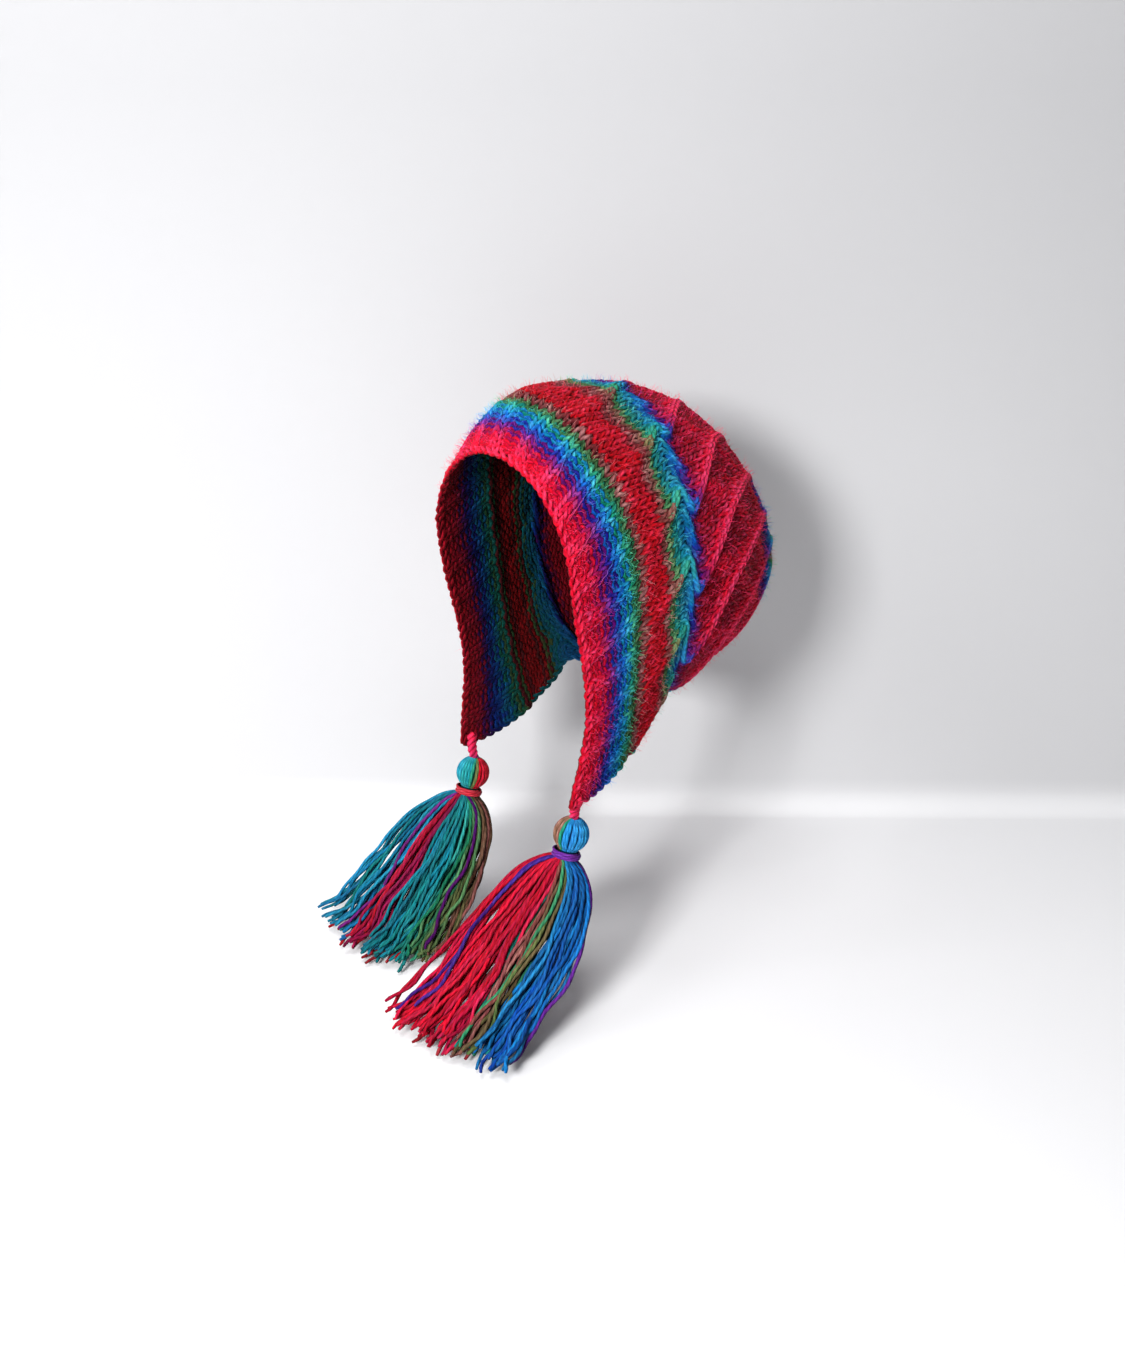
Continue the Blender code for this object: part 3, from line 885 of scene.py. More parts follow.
def yarn_colours() -> bpy.types.NodeTree:
    """Builds the node group that turns a place in the colour cycle into a yarn's colour, with painted
    highlights and painted shade on it.

    Returns:
        The group's tree.
    """
    inputs = (
        ("Tone", "NodeSocketFloat", 0.0),
        ("Light", "NodeSocketFloat", 0.0),
        ("Rise", "NodeSocketFloat", 1.0),
        ("Depth", "NodeSocketFloat", 0.3),
        ("Heather", "NodeSocketFloat", 0.3),
        ("Streaks", "NodeSocketFloat", 0.0),
        ("Twist", "NodeSocketFloat", 1.0),
        ("Twist Shade", "NodeSocketFloat", 0.3),
    )
    tree, given, made = new_group("yarn colours", inputs, (("Color", "NodeSocketColor"),))
    plain = tuple((place, linear(*colour)) for place, colour, _ in YARN_CYCLE)
    lit = tuple((place, linear(*colour)) for place, _, colour in YARN_CYCLE)
    where = tree.nodes.new("ShaderNodeTexCoord").outputs["Object"]
    patches = tree.nodes.new("ShaderNodeTexNoise")
    feed(tree, patches, {"Scale": PATCH_SCALE, "Vector": where})
    drift = math_node(tree, "MULTIPLY_ADD", patches.outputs["Fac"], PATCH_DRIFT, -PATCH_DRIFT / 2.0)
    tone = clamped(tree, math_node(tree, "ADD", given.outputs["Tone"], drift))
    base = colour_ramp(tree, tone, plain)
    highlight_and_pale_fibres = colour_ramp(tree, tone, lit)
    # Painted highlight: the highlight share mixes in the paler colour, more along the streaks; the
    # heather specks are the yarn's own pale fibres.
    specks = math_node(tree, "MULTIPLY", given.outputs["Streaks"], given.outputs["Heather"])
    over = math_node(tree, "MULTIPLY_ADD", given.outputs["Streaks"], STREAK_LIGHT, PLAIN_LIGHT)
    share = math_node(tree, "MULTIPLY_ADD", given.outputs["Light"], over, specks)
    share = math_node(tree, "MINIMUM", share, MOST_LIT)
    yarn = mix_colour(tree, share, base, highlight_and_pale_fibres)
    # Painted shade: darker on each yarn's underside and down in the fabric's hollows, and in the grooves
    # between its plies.
    darkest_shade = math_node(tree, "SUBTRACT", 1.0, given.outputs["Depth"])
    rise = math_node(tree, "POWER", given.outputs["Rise"], PAINTED_SHADE_POWER)
    shade = math_node(tree, "MULTIPLY_ADD", rise, given.outputs["Depth"], darkest_shade)
    flat = math_node(tree, "SUBTRACT", 1.0, given.outputs["Twist Shade"])
    turn = math_node(tree, "MULTIPLY_ADD", given.outputs["Twist"], given.outputs["Twist Shade"], flat)
    dark = tree.nodes.new("ShaderNodeVectorMath")
    dark.operation = "SCALE"
    tree.links.new(yarn, dark.inputs[0])
    tree.links.new(math_node(tree, "MULTIPLY", shade, turn), dark.inputs["Scale"])
    tree.links.new(dark.outputs[0], made.inputs["Color"])
    return tree


def yarn_fibres() -> bpy.types.NodeTree:
    """Builds the node group for a yarn's twisted plies and the fine fibres that run along it.

    Returns:
        The group's tree.
    """
    inputs = (
        ("Spread", "NodeSocketVector", None),
        ("Plies", "NodeSocketFloat", 2.0),
        ("Turns", "NodeSocketFloat", 200.0),
    )
    outputs = (("Height", "NodeSocketFloat"), ("Streaks", "NodeSocketFloat"))
    tree, given, made = new_group("yarn fibres", inputs, outputs)
    parts = tree.nodes.new("ShaderNodeSeparateXYZ")
    tree.links.new(given.outputs["Spread"], parts.inputs[0])
    along = math_node(tree, "MULTIPLY", parts.outputs["X"], given.outputs["Turns"])
    turned = math_node(tree, "MULTIPLY_ADD", parts.outputs["Y"], given.outputs["Plies"], along)
    wave = math_node(tree, "SINE", math_node(tree, "MULTIPLY", turned, 2.0 * math.pi))
    tree.links.new(math_node(tree, "MULTIPLY_ADD", wave, 0.5, 0.5), made.inputs["Height"])
    lay = math_node(tree, "MULTIPLY_ADD", along, 0.5, parts.outputs["Y"])
    angle = math_node(tree, "MULTIPLY", lay, 2.0 * math.pi)
    place = tree.nodes.new("ShaderNodeCombineXYZ")
    feed(tree, place, {
        "X": math_node(tree, "MULTIPLY", math_node(tree, "COSINE", angle), STREAKS_ACROSS),
        "Y": math_node(tree, "MULTIPLY", math_node(tree, "SINE", angle), STREAKS_ACROSS),
        "Z": math_node(tree, "MULTIPLY", parts.outputs["X"], STREAKS_ALONG),
    })
    noise = tree.nodes.new("ShaderNodeTexNoise")
    feed(tree, noise, {"Scale": 1.0, "Detail": 3.0, "Roughness": 0.65, "Vector": place.outputs[0]})
    streaks = math_node(tree, "MULTIPLY_ADD", noise.outputs["Fac"], STREAK_CONTRAST, STREAK_OFFSET)
    tree.links.new(clamped(tree, streaks), made.inputs["Streaks"])
    return tree


@dataclass
class Course:
    """One yarn's run along the hat: the stitches it makes and the row each of them lies on."""

    rows: np.ndarray
    first: int
    per_repeat: int
    tightness: np.ndarray
    closed: bool


@dataclass(frozen=True)
class ChainStitch:
    """A stitch of the raised chain over the strong ribs, larger where it crosses the second stripe."""

    steps: int = 13
    middle: float = 0.4
    reach: float = 0.70
    swing: float = 0.22
    width: float = 0.95
    rim_margin: float = 0.12
    lift: float = 0.0006
    stripe_lift: float = 0.0008
    stripe_rows: float = 2.0
    narrow_margin: float = 0.15
    thickness: float = 0.92
    stripe_thickness: float = 0.28
    tone_shift: float = -0.45
    tone_spread: float = 0.15
    # Shares of painted highlight on the chain's legs, weaker over the second stripe
    paleness: float = 0.95
    stripe_paleness: float = 0.45
    dimmest: float = 0.45


@dataclass(frozen=True)
class StrayStrand:
    """A thin strand that lies loose across a rib of the band."""

    steps: int = 22
    radius: float = 0.00030
    offset: float = 0.55
    jitter: float = 0.06
    first_rows: tuple[float, float] = (0.0, 2.6)
    length_rows: tuple[float, float] = (4.0, 6.4)
    slants: tuple[float, float] = (0.06, 0.26)
    lift: float = 0.0006
    sink: float = 0.0002
    paleness: float = 1.6


@dataclass(frozen=True)
class HaloFibre:
    """A loose fibre of brushed wool: its size, and how it leaves the yarn and bends over."""

    count: int = 4400
    radius: float = 0.00009
    lengths: tuple[float, float] = (0.0018, 0.0056)
    sink: float = 0.0010
    root_rise: float = 0.85
    root_lean: float = 0.25
    tip_rise: float = 0.40
    tip_lean: float = 0.60
    curl: float = 0.5


@dataclass
class KnittedBody:
    """The whole knitted hat: stitches, ground, ribs and edges."""

    surface: HatSurface
    materials: dict[str, bpy.types.Material]
    chain: ChainStitch = ChainStitch()
    stray: StrayStrand = StrayStrand()
    halo: HaloFibre = HaloFibre()
    seed: int = 7
    edge_twist_radius: float = 0.00125
    edge_spread: float = 1.25
    edge_thickness: float = 0.92
    edge_steps: int = 16
    flap_steps: int = 70
    face_steps: int = 300
    gather_reach: float = 0.0062
    ground_thickness: float = 0.0006
    ground_margin: float = 0.2
    ground_lift: float = 0.0002
    row_wobble: float = 0.05
    colour_drift: float = 0.10
    # Painted highlight on the stitches' legs: the dimmest leg's share, how few legs are bright, and how
    # narrow each highlight is
    dimmest_leg: float = 0.08
    leg_power: float = 2.4
    leg_focus: int = 6
    unevenness: float = 0.06
    short_row_start: float = 0.42
    shortest_short_row: int = 4
    stitch_base: float = 0.45
    gather_turns: float = 3.0
    pieces: list[bpy.types.Object] = field(default_factory=list)

    def per_repeat(self, row: float) -> int:
        """Counts the stitches of a lattice repeat, fewer where the hat narrows.

        Args:
            row: Row number from the face edge.

        Returns:
            How many stitches a repeat has there.
        """
        if row < FIRST_NARROW_ROW:
            return STITCHES_PER_REPEAT
        ring = self.surface.row_points(row)
        girth = np.linalg.norm(np.diff(ring, axis=0), axis=1).sum()
        return int(min(max(round(girth / STITCH_WIDTH / (2 * REPEATS)), 1), STITCHES_PER_REPEAT))

    def courses(self) -> list[Course]:
        """Lays out every course, with short rows where the fabric is longer than its rows.

        Returns:
            All the courses, from the face edge back.
        """
        found = []
        for row in range(int(LAST_ROW) - 1):
            base = row + self.stitch_base
            per_repeat = self.per_repeat(base)
            stitches = 2 * REPEATS * per_repeat
            middles = (np.arange(stitches) + 0.5) / per_repeat - REPEATS
            here = self.surface.read(self.surface.places, np.full(stitches, base), middles)
            there = self.surface.read(self.surface.places, np.full(stitches, base + 1.0), middles)
            pitches = np.linalg.norm(there - here, axis=1) / ROW_PITCH
            pitches = np.convolve(np.pad(pitches, 2, mode="edge"), np.full(5, 0.2), mode="valid")
            for level in range(int(pitches.max() + 0.6) + 1):
                if level == 0:
                    runs = [(0, stitches)]
                else:
                    wide = pitches > level + self.short_row_start
                    edges = np.flatnonzero(np.diff(np.concatenate(([0], wide, [0]))))
                    pairs = zip(edges[::2], edges[1::2])
                    runs = [(a, b) for a, b in pairs if b - a >= self.shortest_short_row]
                for start, stop in runs:
                    spread = np.maximum(pitches[start:stop], level + self.short_row_start)
                    rows = base + level / spread
                    tight = 1.0 / np.where(spread > 1.35, spread, 1.0)
                    whole = base >= RING_ROW and stop - start == stitches
                    found.append(Course(rows, start, per_repeat, tight, whole))
        return found

    def knit(self, mesh: YarnMesh, course: Course, rng: np.random.Generator) -> None:
        """Loops one yarn along its course.

        Args:
            mesh: Mesh that takes the yarn.
            course: The stitches to make.
            rng: Source of the small differences between stitches.
        """
        count = len(course.rows)
        steps = count * LOOP_STEPS + (0 if course.closed else 1)
        place = np.arange(steps) / LOOP_STEPS
        t = 2.0 * math.pi * place
        across = place + LOOP_SWING * np.sin(2.0 * t)
        middles = np.arange(count) + 0.5
        reach = np.interp(place, middles, course.tightness) * LOOP_REACH
        row = np.interp(place, middles, course.rows) + reach * np.cos(t)
        repeat = (course.first + across) / course.per_repeat - REPEATS
        if not course.closed:
            repeat = np.clip(repeat, -REPEATS, REPEATS)
        else:
            repeat = np.mod(repeat + REPEATS, 2.0 * REPEATS) - REPEATS
        on_band = 1.0 - smooth_step(BAND_LAST_ROW - 0.6, BAND_LAST_ROW, row)
        face = np.clip(2.5 * Relief.rib(repeat), -1.0, 1.0) * on_band + (1.0 - on_band)
        depth = -WALL_MIDDLE - LOOP_DEPTH * np.cos(2.0 * t) * face
        height = Relief.height(row, repeat) + depth
        wobble = rng.normal(0.0, self.row_wobble, count + 1)
        stitch = np.minimum(place.astype(int), count)
        row = row + Relief.wave(row, repeat) + wobble[stitch] * np.sin(t / 2.0) ** 2
        path = self.surface.at(row, repeat, height)
        normal = self.surface.normal(row, repeat)
        middle_row = float(course.rows.mean())
        knots = np.linspace(0.0, count, 9)
        drift = np.interp(place, knots, rng.normal(0.0, self.colour_drift, len(knots)))
        tone = np.interp(middle_row + drift, STRIPE_ROWS, STRIPE_TONES)
        # Painted highlight on the middle of each stitch's legs, stronger on some legs at random.
        legs = rng.random(2 * count + 2) ** self.leg_power
        legs = self.dimmest_leg + (1.0 - self.dimmest_leg) * legs
        light = legs[(2.0 * place).astype(int)] * np.sin(t) ** self.leg_focus
        radius = YARN_RADIUS * (1.0 + self.unevenness * np.sin(3.1 * t + middle_row))
        # Painted shade: open_light gives the fabric's hollows less light in the colour.
        mesh.add(path, normal, radius, tone, light, course.closed, Relief.open_light(row, repeat))

    def stitches(self) -> None:
        """Makes the band and the body, in pieces small enough to be kept whole."""
        courses = self.courses()
        sections = (
            ("band_stitches", 0.0, 9.0, "band_knit", "face_band"),
            ("crown_stitches_front", 9.0, 17.0, "crown_knit", "crown"),
            ("crown_stitches_flaps", 17.0, 25.0, "crown_knit", "crown"),
            ("crown_stitches_back", 25.0, 38.0, "crown_knit", "crown"),
            ("crown_stitches_gather", 38.0, 61.0, "crown_knit", "crown"),
        )
        for number, (name, low, high, slot, node) in enumerate(sections):
            rng = np.random.default_rng(self.seed + number)
            mesh = YarnMesh()
            for course in courses:
                if low <= course.rows.min() - self.stitch_base < high:
                    self.knit(mesh, course, rng)
            self.finish(mesh.build(name), "knitted yarn", slot, node)

    def slanting_ribs(self) -> None:
        """Makes the raised chain of stitches that slants over the body's strong ribs."""
        rng = np.random.default_rng(self.seed + 20)
        mesh = YarnMesh()
        chain = self.chain
        t = np.linspace(0.0, 2.0 * math.pi, chain.steps)
        swing = t / (2.0 * math.pi) + chain.swing * np.sin(2.0 * t) - 0.5
        for line in range(-REPEATS - 4, REPEATS + 4):
            for number in range(FIRST_CHAIN_ROW, LAST_CHAIN_ROW + 1):
                middle = number + chain.middle
                row = middle + chain.reach * np.cos(t)
                narrow = self.per_repeat(middle) / STITCHES_PER_REPEAT + chain.narrow_margin
                centre = line + 0.5 - (row - LATTICE_NODE_ROW) / LATTICE_ROWS
                repeat = centre + chain.width * swing / STITCHES_PER_REPEAT
                limit = REPEATS - chain.rim_margin
                if repeat.min() < -limit or repeat.max() > limit:
                    continue
                swell = float(monotone(SWELL_ROWS, SWELL_SHARES, middle))
                stripe = math.exp(-(((middle - STRIPE_ROW) / chain.stripe_rows) ** 2))
                lift = (chain.lift + chain.stripe_lift * stripe) * swell * min(narrow, 1.0)
                lift = lift - LOOP_DEPTH * np.cos(2.0 * t)
                height = Relief.height(row, repeat) - WALL_MIDDLE + lift
                shifted = row + Relief.wave(row, repeat)
                path = self.surface.at(shifted, repeat, height)
                dyed = middle + rng.normal(chain.tone_shift, chain.tone_spread)
                tone = np.interp(dyed, STRIPE_ROWS, STRIPE_TONES)
                # Painted highlight on the chain's legs, strongest at each leg's middle.
                paleness = chain.paleness if middle > PALE_CHAIN_ROW else chain.stripe_paleness
                paleness *= chain.dimmest + (1.0 - chain.dimmest) * rng.random()
                radius = YARN_RADIUS * (chain.thickness + chain.stripe_thickness * stripe)
                normal = self.surface.normal(shifted, repeat)
                mesh.add(path, normal, radius, tone, paleness * np.abs(np.sin(t)))
        self.finish(mesh.build("slanting_ribs"), "knitted yarn", "crown_knit", "crown")

    def stray_yarn(self) -> None:
        """Makes the thin strands, paled with painted highlight, that lie slanting across the ribs of the
        upper band.
        """
        rng = np.random.default_rng(self.seed + 25)
        mesh = YarnMesh(sides=4)
        stray = self.stray
        share = np.linspace(0.0, 1.0, stray.steps)
        for number in range(int(2 * REPEATS / RIB_PERIOD)):
            start = -REPEATS + (number + stray.offset) * RIB_PERIOD + rng.normal(0.0, stray.jitter)
            row = rng.uniform(*stray.first_rows) + share * rng.uniform(*stray.length_rows)
            repeat = start - np.sign(start) * share * rng.uniform(*stray.slants)
            if abs(start) > STRAY_LAST_REPEAT:
                continue
            lift = stray.lift * np.sin(math.pi * share) - stray.lift * np.cos(2.0 * math.pi * row)
            height = Relief.height(row, repeat) + lift - stray.sink
            path = self.surface.at(row + Relief.wave(row, repeat), repeat, height)
            normal = self.surface.normal(row, repeat)
            radius = stray.radius * np.sin(math.pi * (0.04 + 0.92 * share)) ** 0.4
            tone = np.interp(row, STRIPE_ROWS, STRIPE_TONES)
            mesh.add(path, normal, radius, tone, stray.paleness)
        self.finish(mesh.build("stray_yarn"), "knitted yarn", "band_knit", "face_band")

    def edge_line(self) -> tuple[np.ndarray, np.ndarray, np.ndarray]:
        """Follows the whole rim: one flap's edge, the face edge, the other flap's edge and the nape.

        Returns:
            The rim's rows, its repeats, and the points of the line.
        """
        down = np.linspace(RING_ROW, EDGE_ROW, self.flap_steps)
        round_face = np.linspace(REPEATS, -REPEATS, self.face_steps)[1:-1]
        rows = np.concatenate((down, np.full(len(round_face), EDGE_ROW), down[::-1][:-1]))
        left, right = np.full(len(down), REPEATS), np.full(len(down) - 1, -REPEATS)
        repeats = np.concatenate((left, round_face, right))
        return rows, repeats, self.surface.at(rows, repeats, np.full(len(rows), -WALL_MIDDLE))

    def edges(self) -> None:
        """Makes the cast-on edge, two yarns twisted round each other along the whole rim."""
        rows, repeats, line = self.edge_line()
        closed = np.vstack((line, line[:1]))
        run = run_length(closed)
        turns = round(run[-1] / (2.0 * STITCH_WIDTH))
        count = turns * self.edge_steps
        at = np.arange(count) * run[-1] / count
        path = np.stack([np.interp(at, run, closed[:, axis]) for axis in range(3)], axis=1)
        path = (path + np.roll(path, 1, axis=0) + np.roll(path, -1, axis=0)) / 3.0
        row = np.interp(at, run, np.append(rows, rows[0]))
        repeat = np.interp(at, run, np.append(repeats, repeats[0]))
        normal = self.surface.normal(row, repeat)
        height = Relief.height(row, repeat)
        path = path + normal * height[:, None]
        along = unit(np.roll(path, -1, axis=0) - np.roll(path, 1, axis=0))
        beside = unit(np.cross(along, normal))
        rng = np.random.default_rng(self.seed + 30)
        mesh = YarnMesh()
        for strand in range(2):
            angle = 2.0 * math.pi * turns * at / run[-1] + math.pi * strand
            offset = around(angle, normal, self.edge_spread * beside)
            shown = np.where(row > FLAP_BACK_ROW, np.maximum(row, NAPE_TONE_ROW), row)
            tone = np.interp(shown, STRIPE_ROWS, STRIPE_TONES)
            # Painted highlight on the outward side of each twisted strand.
            light = 0.15 + 0.55 * np.clip(np.cos(angle), 0.0, 1.0) * rng.random(count)
            twisted = path + self.edge_twist_radius * offset
            mesh.add(twisted, normal, YARN_RADIUS * self.edge_thickness, tone, light, True)
        self.finish(mesh.build("rim_stitches"), "knitted yarn", "band_knit", "face_band")

    def ground(self) -> None:
        """Makes the fabric's closed middle, a sheet painted in shade that shows as the dark between the
        loops.
        """
        columns, lines = 2 * REPEATS * STITCHES_PER_REPEAT, int(LAST_ROW)
        bm = bmesh.new()
        bmesh.ops.create_grid(bm, x_segments=columns, y_segments=lines, size=1.0)
        tone = bm.verts.layers.float.new("tone")
        flat = np.array([vert.co[:2] for vert in bm.verts])
        repeat = flat[:, 0] * REPEATS
        row = (flat[:, 1] + 1.0) * (LAST_ROW - 2.0 * self.ground_margin) / 2.0 + self.ground_margin
        height = Relief.height(row, repeat) - WALL_MIDDLE + self.ground_lift
        places = self.surface.at(row + Relief.wave(row, repeat), repeat, height)
        tones = np.interp(row, STRIPE_ROWS, STRIPE_TONES)
        for vert, place, value in zip(bm.verts, places, tones):
            vert.co = Vector(place)
            vert[tone] = value
        bmesh.ops.remove_doubles(bm, verts=bm.verts, dist=0.0004)
        rim = [edge for edge in bm.edges if edge.is_boundary]
        gather = [edge for edge in rim if min(v.co.y for v in edge.verts) > CAD_HIGH.y - 0.02]
        bmesh.ops.contextual_create(bm, geom=gather)
        bmesh.ops.recalc_face_normals(bm, faces=bm.faces)
        mesh = bpy.data.meshes.new("knit_ground")
        bm.to_mesh(mesh)
        bm.free()
        piece = add_object("knit_ground", mesh)
        wall = piece.modifiers.new("wall", "SOLIDIFY")
        wall.thickness = self.ground_thickness
        wall.offset = 0.0
        mesh.shade_smooth()
        self.finish(piece, "knit ground", "crown_knit", "crown")

    def fuzz(self, name: str, low: float, high: float) -> None:
        """Makes the halo of loose fibres that brushed wool has.

        Args:
            name: Name of the piece.
            low: First row that has them.
            high: Last row that has them.
        """
        rng = np.random.default_rng(self.seed + 40 + int(low))
        halo = self.halo
        tries = 2 * halo.count
        row = rng.uniform(low, high, tries)
        repeat = rng.uniform(-REPEATS, REPEATS, tries)
        girth = monotone(GIRTH_ROWS, GIRTH_SHARES, row)
        keep = np.flatnonzero(rng.random(tries) < girth)[: halo.count]
        row, repeat = row[keep], repeat[keep]
        count = len(row)
        root = self.surface.at(row, repeat, Relief.height(row, repeat) - halo.sink)
        normal = self.surface.normal(row, repeat)
        lie = unit(np.cross(normal, rng.normal(size=(count, 3))))
        length = rng.uniform(*halo.lengths, count)[:, None]
        middle = root + (halo.root_rise * normal + halo.root_lean * lie) * length
        curl = unit(np.cross(normal, lie)) * rng.uniform(-halo.curl, halo.curl, count)[:, None]
        tip = middle + (halo.tip_rise * normal + halo.tip_lean * lie + curl) * length
        beside = np.cross(unit(middle - root), lie)
        tone = np.interp(row, STRIPE_ROWS, STRIPE_TONES)
        self.fibres(name, root, middle, tip, lie, beside, tone)

    def fibres(
        self,
        name: str,
        root: np.ndarray,
        middle: np.ndarray,
        tip: np.ndarray,
        lie: np.ndarray,
        beside: np.ndarray,
        tone: np.ndarray,
    ) -> None:
        """Builds fibres as closed three-sided spikes with one bend.

        Args:
            name: Name of the piece.
            root: Where each fibre leaves the yarn.
            middle: Where it bends.
            tip: Where it ends.
            lie: Direction across each fibre.
            beside: The other direction across it.
            tone: Its place in the colour cycle.
        """
        count = len(root)
        rings = []
        for place in (root, middle):
            for corner in range(3):
                angle = 2.0 * math.pi * corner / 3.0
                out = math.cos(angle) * lie + math.sin(angle) * beside
                rings.append(place + self.halo.radius * out)
        verts = np.stack((*rings, tip), axis=1).reshape(-1, 3)
        sides = [(a, b, b + 3) for a, b in ((0, 1), (1, 2), (2, 0))]
        sides += [(a, b + 3, a + 3) for a, b in ((0, 1), (1, 2), (2, 0))]
        point = [(a, b, 6) for a, b in ((3, 4), (4, 5), (5, 3))]
        pattern = np.array(sides + point + [(2, 1, 0)])
        firsts = len(FIBRE_HIGHLIGHT) * np.arange(count)
        faces = (pattern[None] + firsts[:, None, None]).reshape(-1, 3)
        mesh = bpy.data.meshes.new(name)
        mesh.from_pydata(verts.tolist(), [], faces.tolist())
        mesh.update()
        set_attribute(mesh, "tone", np.repeat(tone, len(FIBRE_HIGHLIGHT)))
        set_attribute(mesh, "light", np.tile(FIBRE_HIGHLIGHT, count))
        self.finish(add_object(name, mesh), "loose fibres", "crown_knit", "crown")

    def gather(self) -> None:
        """Makes the drawn-in yarn that closes the back of the hat."""
        t = np.linspace(0.0, 1.0, 90)
        angle = 2.0 * math.pi * self.gather_turns * t
        ring = self.surface.row_points(LAST_ROW - 0.6)
        centre = ring.mean(axis=0)
        normal = unit((centre - self.surface.row_points(LAST_ROW - 6.0).mean(axis=0))[None])[0]
        side = unit(np.cross(normal, (0.0, 0.0, 1.0))[None])[0]
        up = np.cross(side, normal)
        reach = self.gather_reach * (1.0 - 0.85 * t)
        path = centre + normal * (0.0006 + 0.0022 * t)[:, None]
        path = path + reach[:, None] * around(angle, side, up)
        mesh = YarnMesh(sides=8)
        # 0.3 is the share of painted highlight on its outward side.
        mesh.add(path, np.broadcast_to(normal, path.shape), YARN_RADIUS, 1.0, 0.3)
        self.finish(mesh.build("gather_yarn"), "knitted yarn", "crown_knit", "crown")

    def finish(self, piece: bpy.types.Object, finish: str, slot: str, node: str) -> None:
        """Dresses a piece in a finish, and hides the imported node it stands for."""
        dress(piece, self.materials[finish], (node,))
        self.pieces.append(piece)

    def build(self) -> list[bpy.types.Object]:
        """Makes every piece of the knitted body.

        Returns:
            The pieces.
        """
        self.ground()
        self.stitches()
        self.slanting_ribs()
        self.stray_yarn()
        self.edges()
        self.gather()
        self.fuzz("wool_halo_front", 0.0, 16.0)
        self.fuzz("wool_halo_back", 16.0, LAST_ROW - 1.0)
        return self.pieces


def dress(piece: bpy.types.Object, material: bpy.types.Material, nodes: tuple = ()) -> None:
    """Gives a finished piece its material and its place in the frame.

    Args:
        piece: The finished piece.
        material: Its material.
        nodes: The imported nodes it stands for.
    """
    piece.data.materials.clear()
    piece.data.materials.append(material)
    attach(piece, "root")
    if nodes:
        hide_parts(*nodes)
    LOG.info("%s: %d faces", piece.name, len(piece.data.polygons))


@dataclass(frozen=True)
class TasselColours:
    """How the yarn's colours lie across one tassel, from -1 to 1.

    Each accent is a strand that stands out: its place across, its place through, and its colour.
    """

    places: tuple[float, ...]
    tones: tuple[float, ...]
    hidden: float
    ball_places: tuple[float, ...]
    ball_tones: tuple[float, ...]
    binding: float
    accents: tuple[tuple[float, float, float], ...]


@dataclass(frozen=True)
class LooseStrand:
    """A strand of a skirt.

    Each wave has how far it swings, how often along the strand, and which of four phases it has.
    """

    steps: int = 34
    radius: float = 0.00132
    unevenness: float = 0.07
    cut_end: float = 0.72
    root: float = -0.03
    shortest: float = 0.12
    side_waves: tuple = ((0.0042, 6.0, 0), (0.0020, 17.0, 1), (0.0008, 38.0, 2))
    lift_waves: tuple = ((0.0025, 7.0, 2), (0.0013, 21.0, 3))
    shades: tuple[float, float] = (0.42, 0.90)
    shade_drift: float = 0.18
    tone_drift: float = 0.02


# Where each skirt's hem lies, as three points out and back from the ball, in metres
LEFT_HEM = ((-0.046, -0.134), (0.016, -0.122), (0.064, -0.097))
RIGHT_HEM = ((-0.080, -0.104), (0.018, -0.107), (0.046, -0.059))

LEFT_COLOURS = TasselColours(
    places=(-1.0, 0.06, 0.10, 0.24, 0.28, 0.40, 0.44, 0.66, 0.92, 1.0),
    tones=(0.00, 0.01, 0.90, 0.85, 0.82, 0.78, 0.45, 0.39, 0.43, 0.45),
    hidden=0.96,
    ball_places=(-1.0, -0.30, -0.22, -0.12, -0.05, 1.0),
    ball_tones=(0.85, 0.82, 0.70, 0.64, 0.42, 0.44),
    binding=0.20,
    accents=((-0.72, 0.95, 0.24), (-0.66, 0.95, 0.26), (0.98, -0.10, 0.20), (0.30, 0.95, 0.68)),
)
RIGHT_COLOURS = TasselColours(
    places=(-1.0, -0.60, -0.42, -0.38, -0.16, -0.12, 0.30, 0.46, 0.60, 0.78, 1.0),
    tones=(0.53, 0.52, 0.48, 0.03, 0.10, 0.53, 0.58, 0.62, 0.72, 0.78, 0.86),
    hidden=0.98,
    ball_places=(-1.0, 0.40, 0.60, 0.76, 0.84, 1.0),
    ball_tones=(0.54, 0.57, 0.66, 0.76, 0.98, 1.0),
    binding=0.98,
    accents=((0.72, 0.90, 0.19), (-0.52, 0.85, 0.17), (0.80, 0.80, 0.72), (-0.30, 0.95, 0.04)),
)


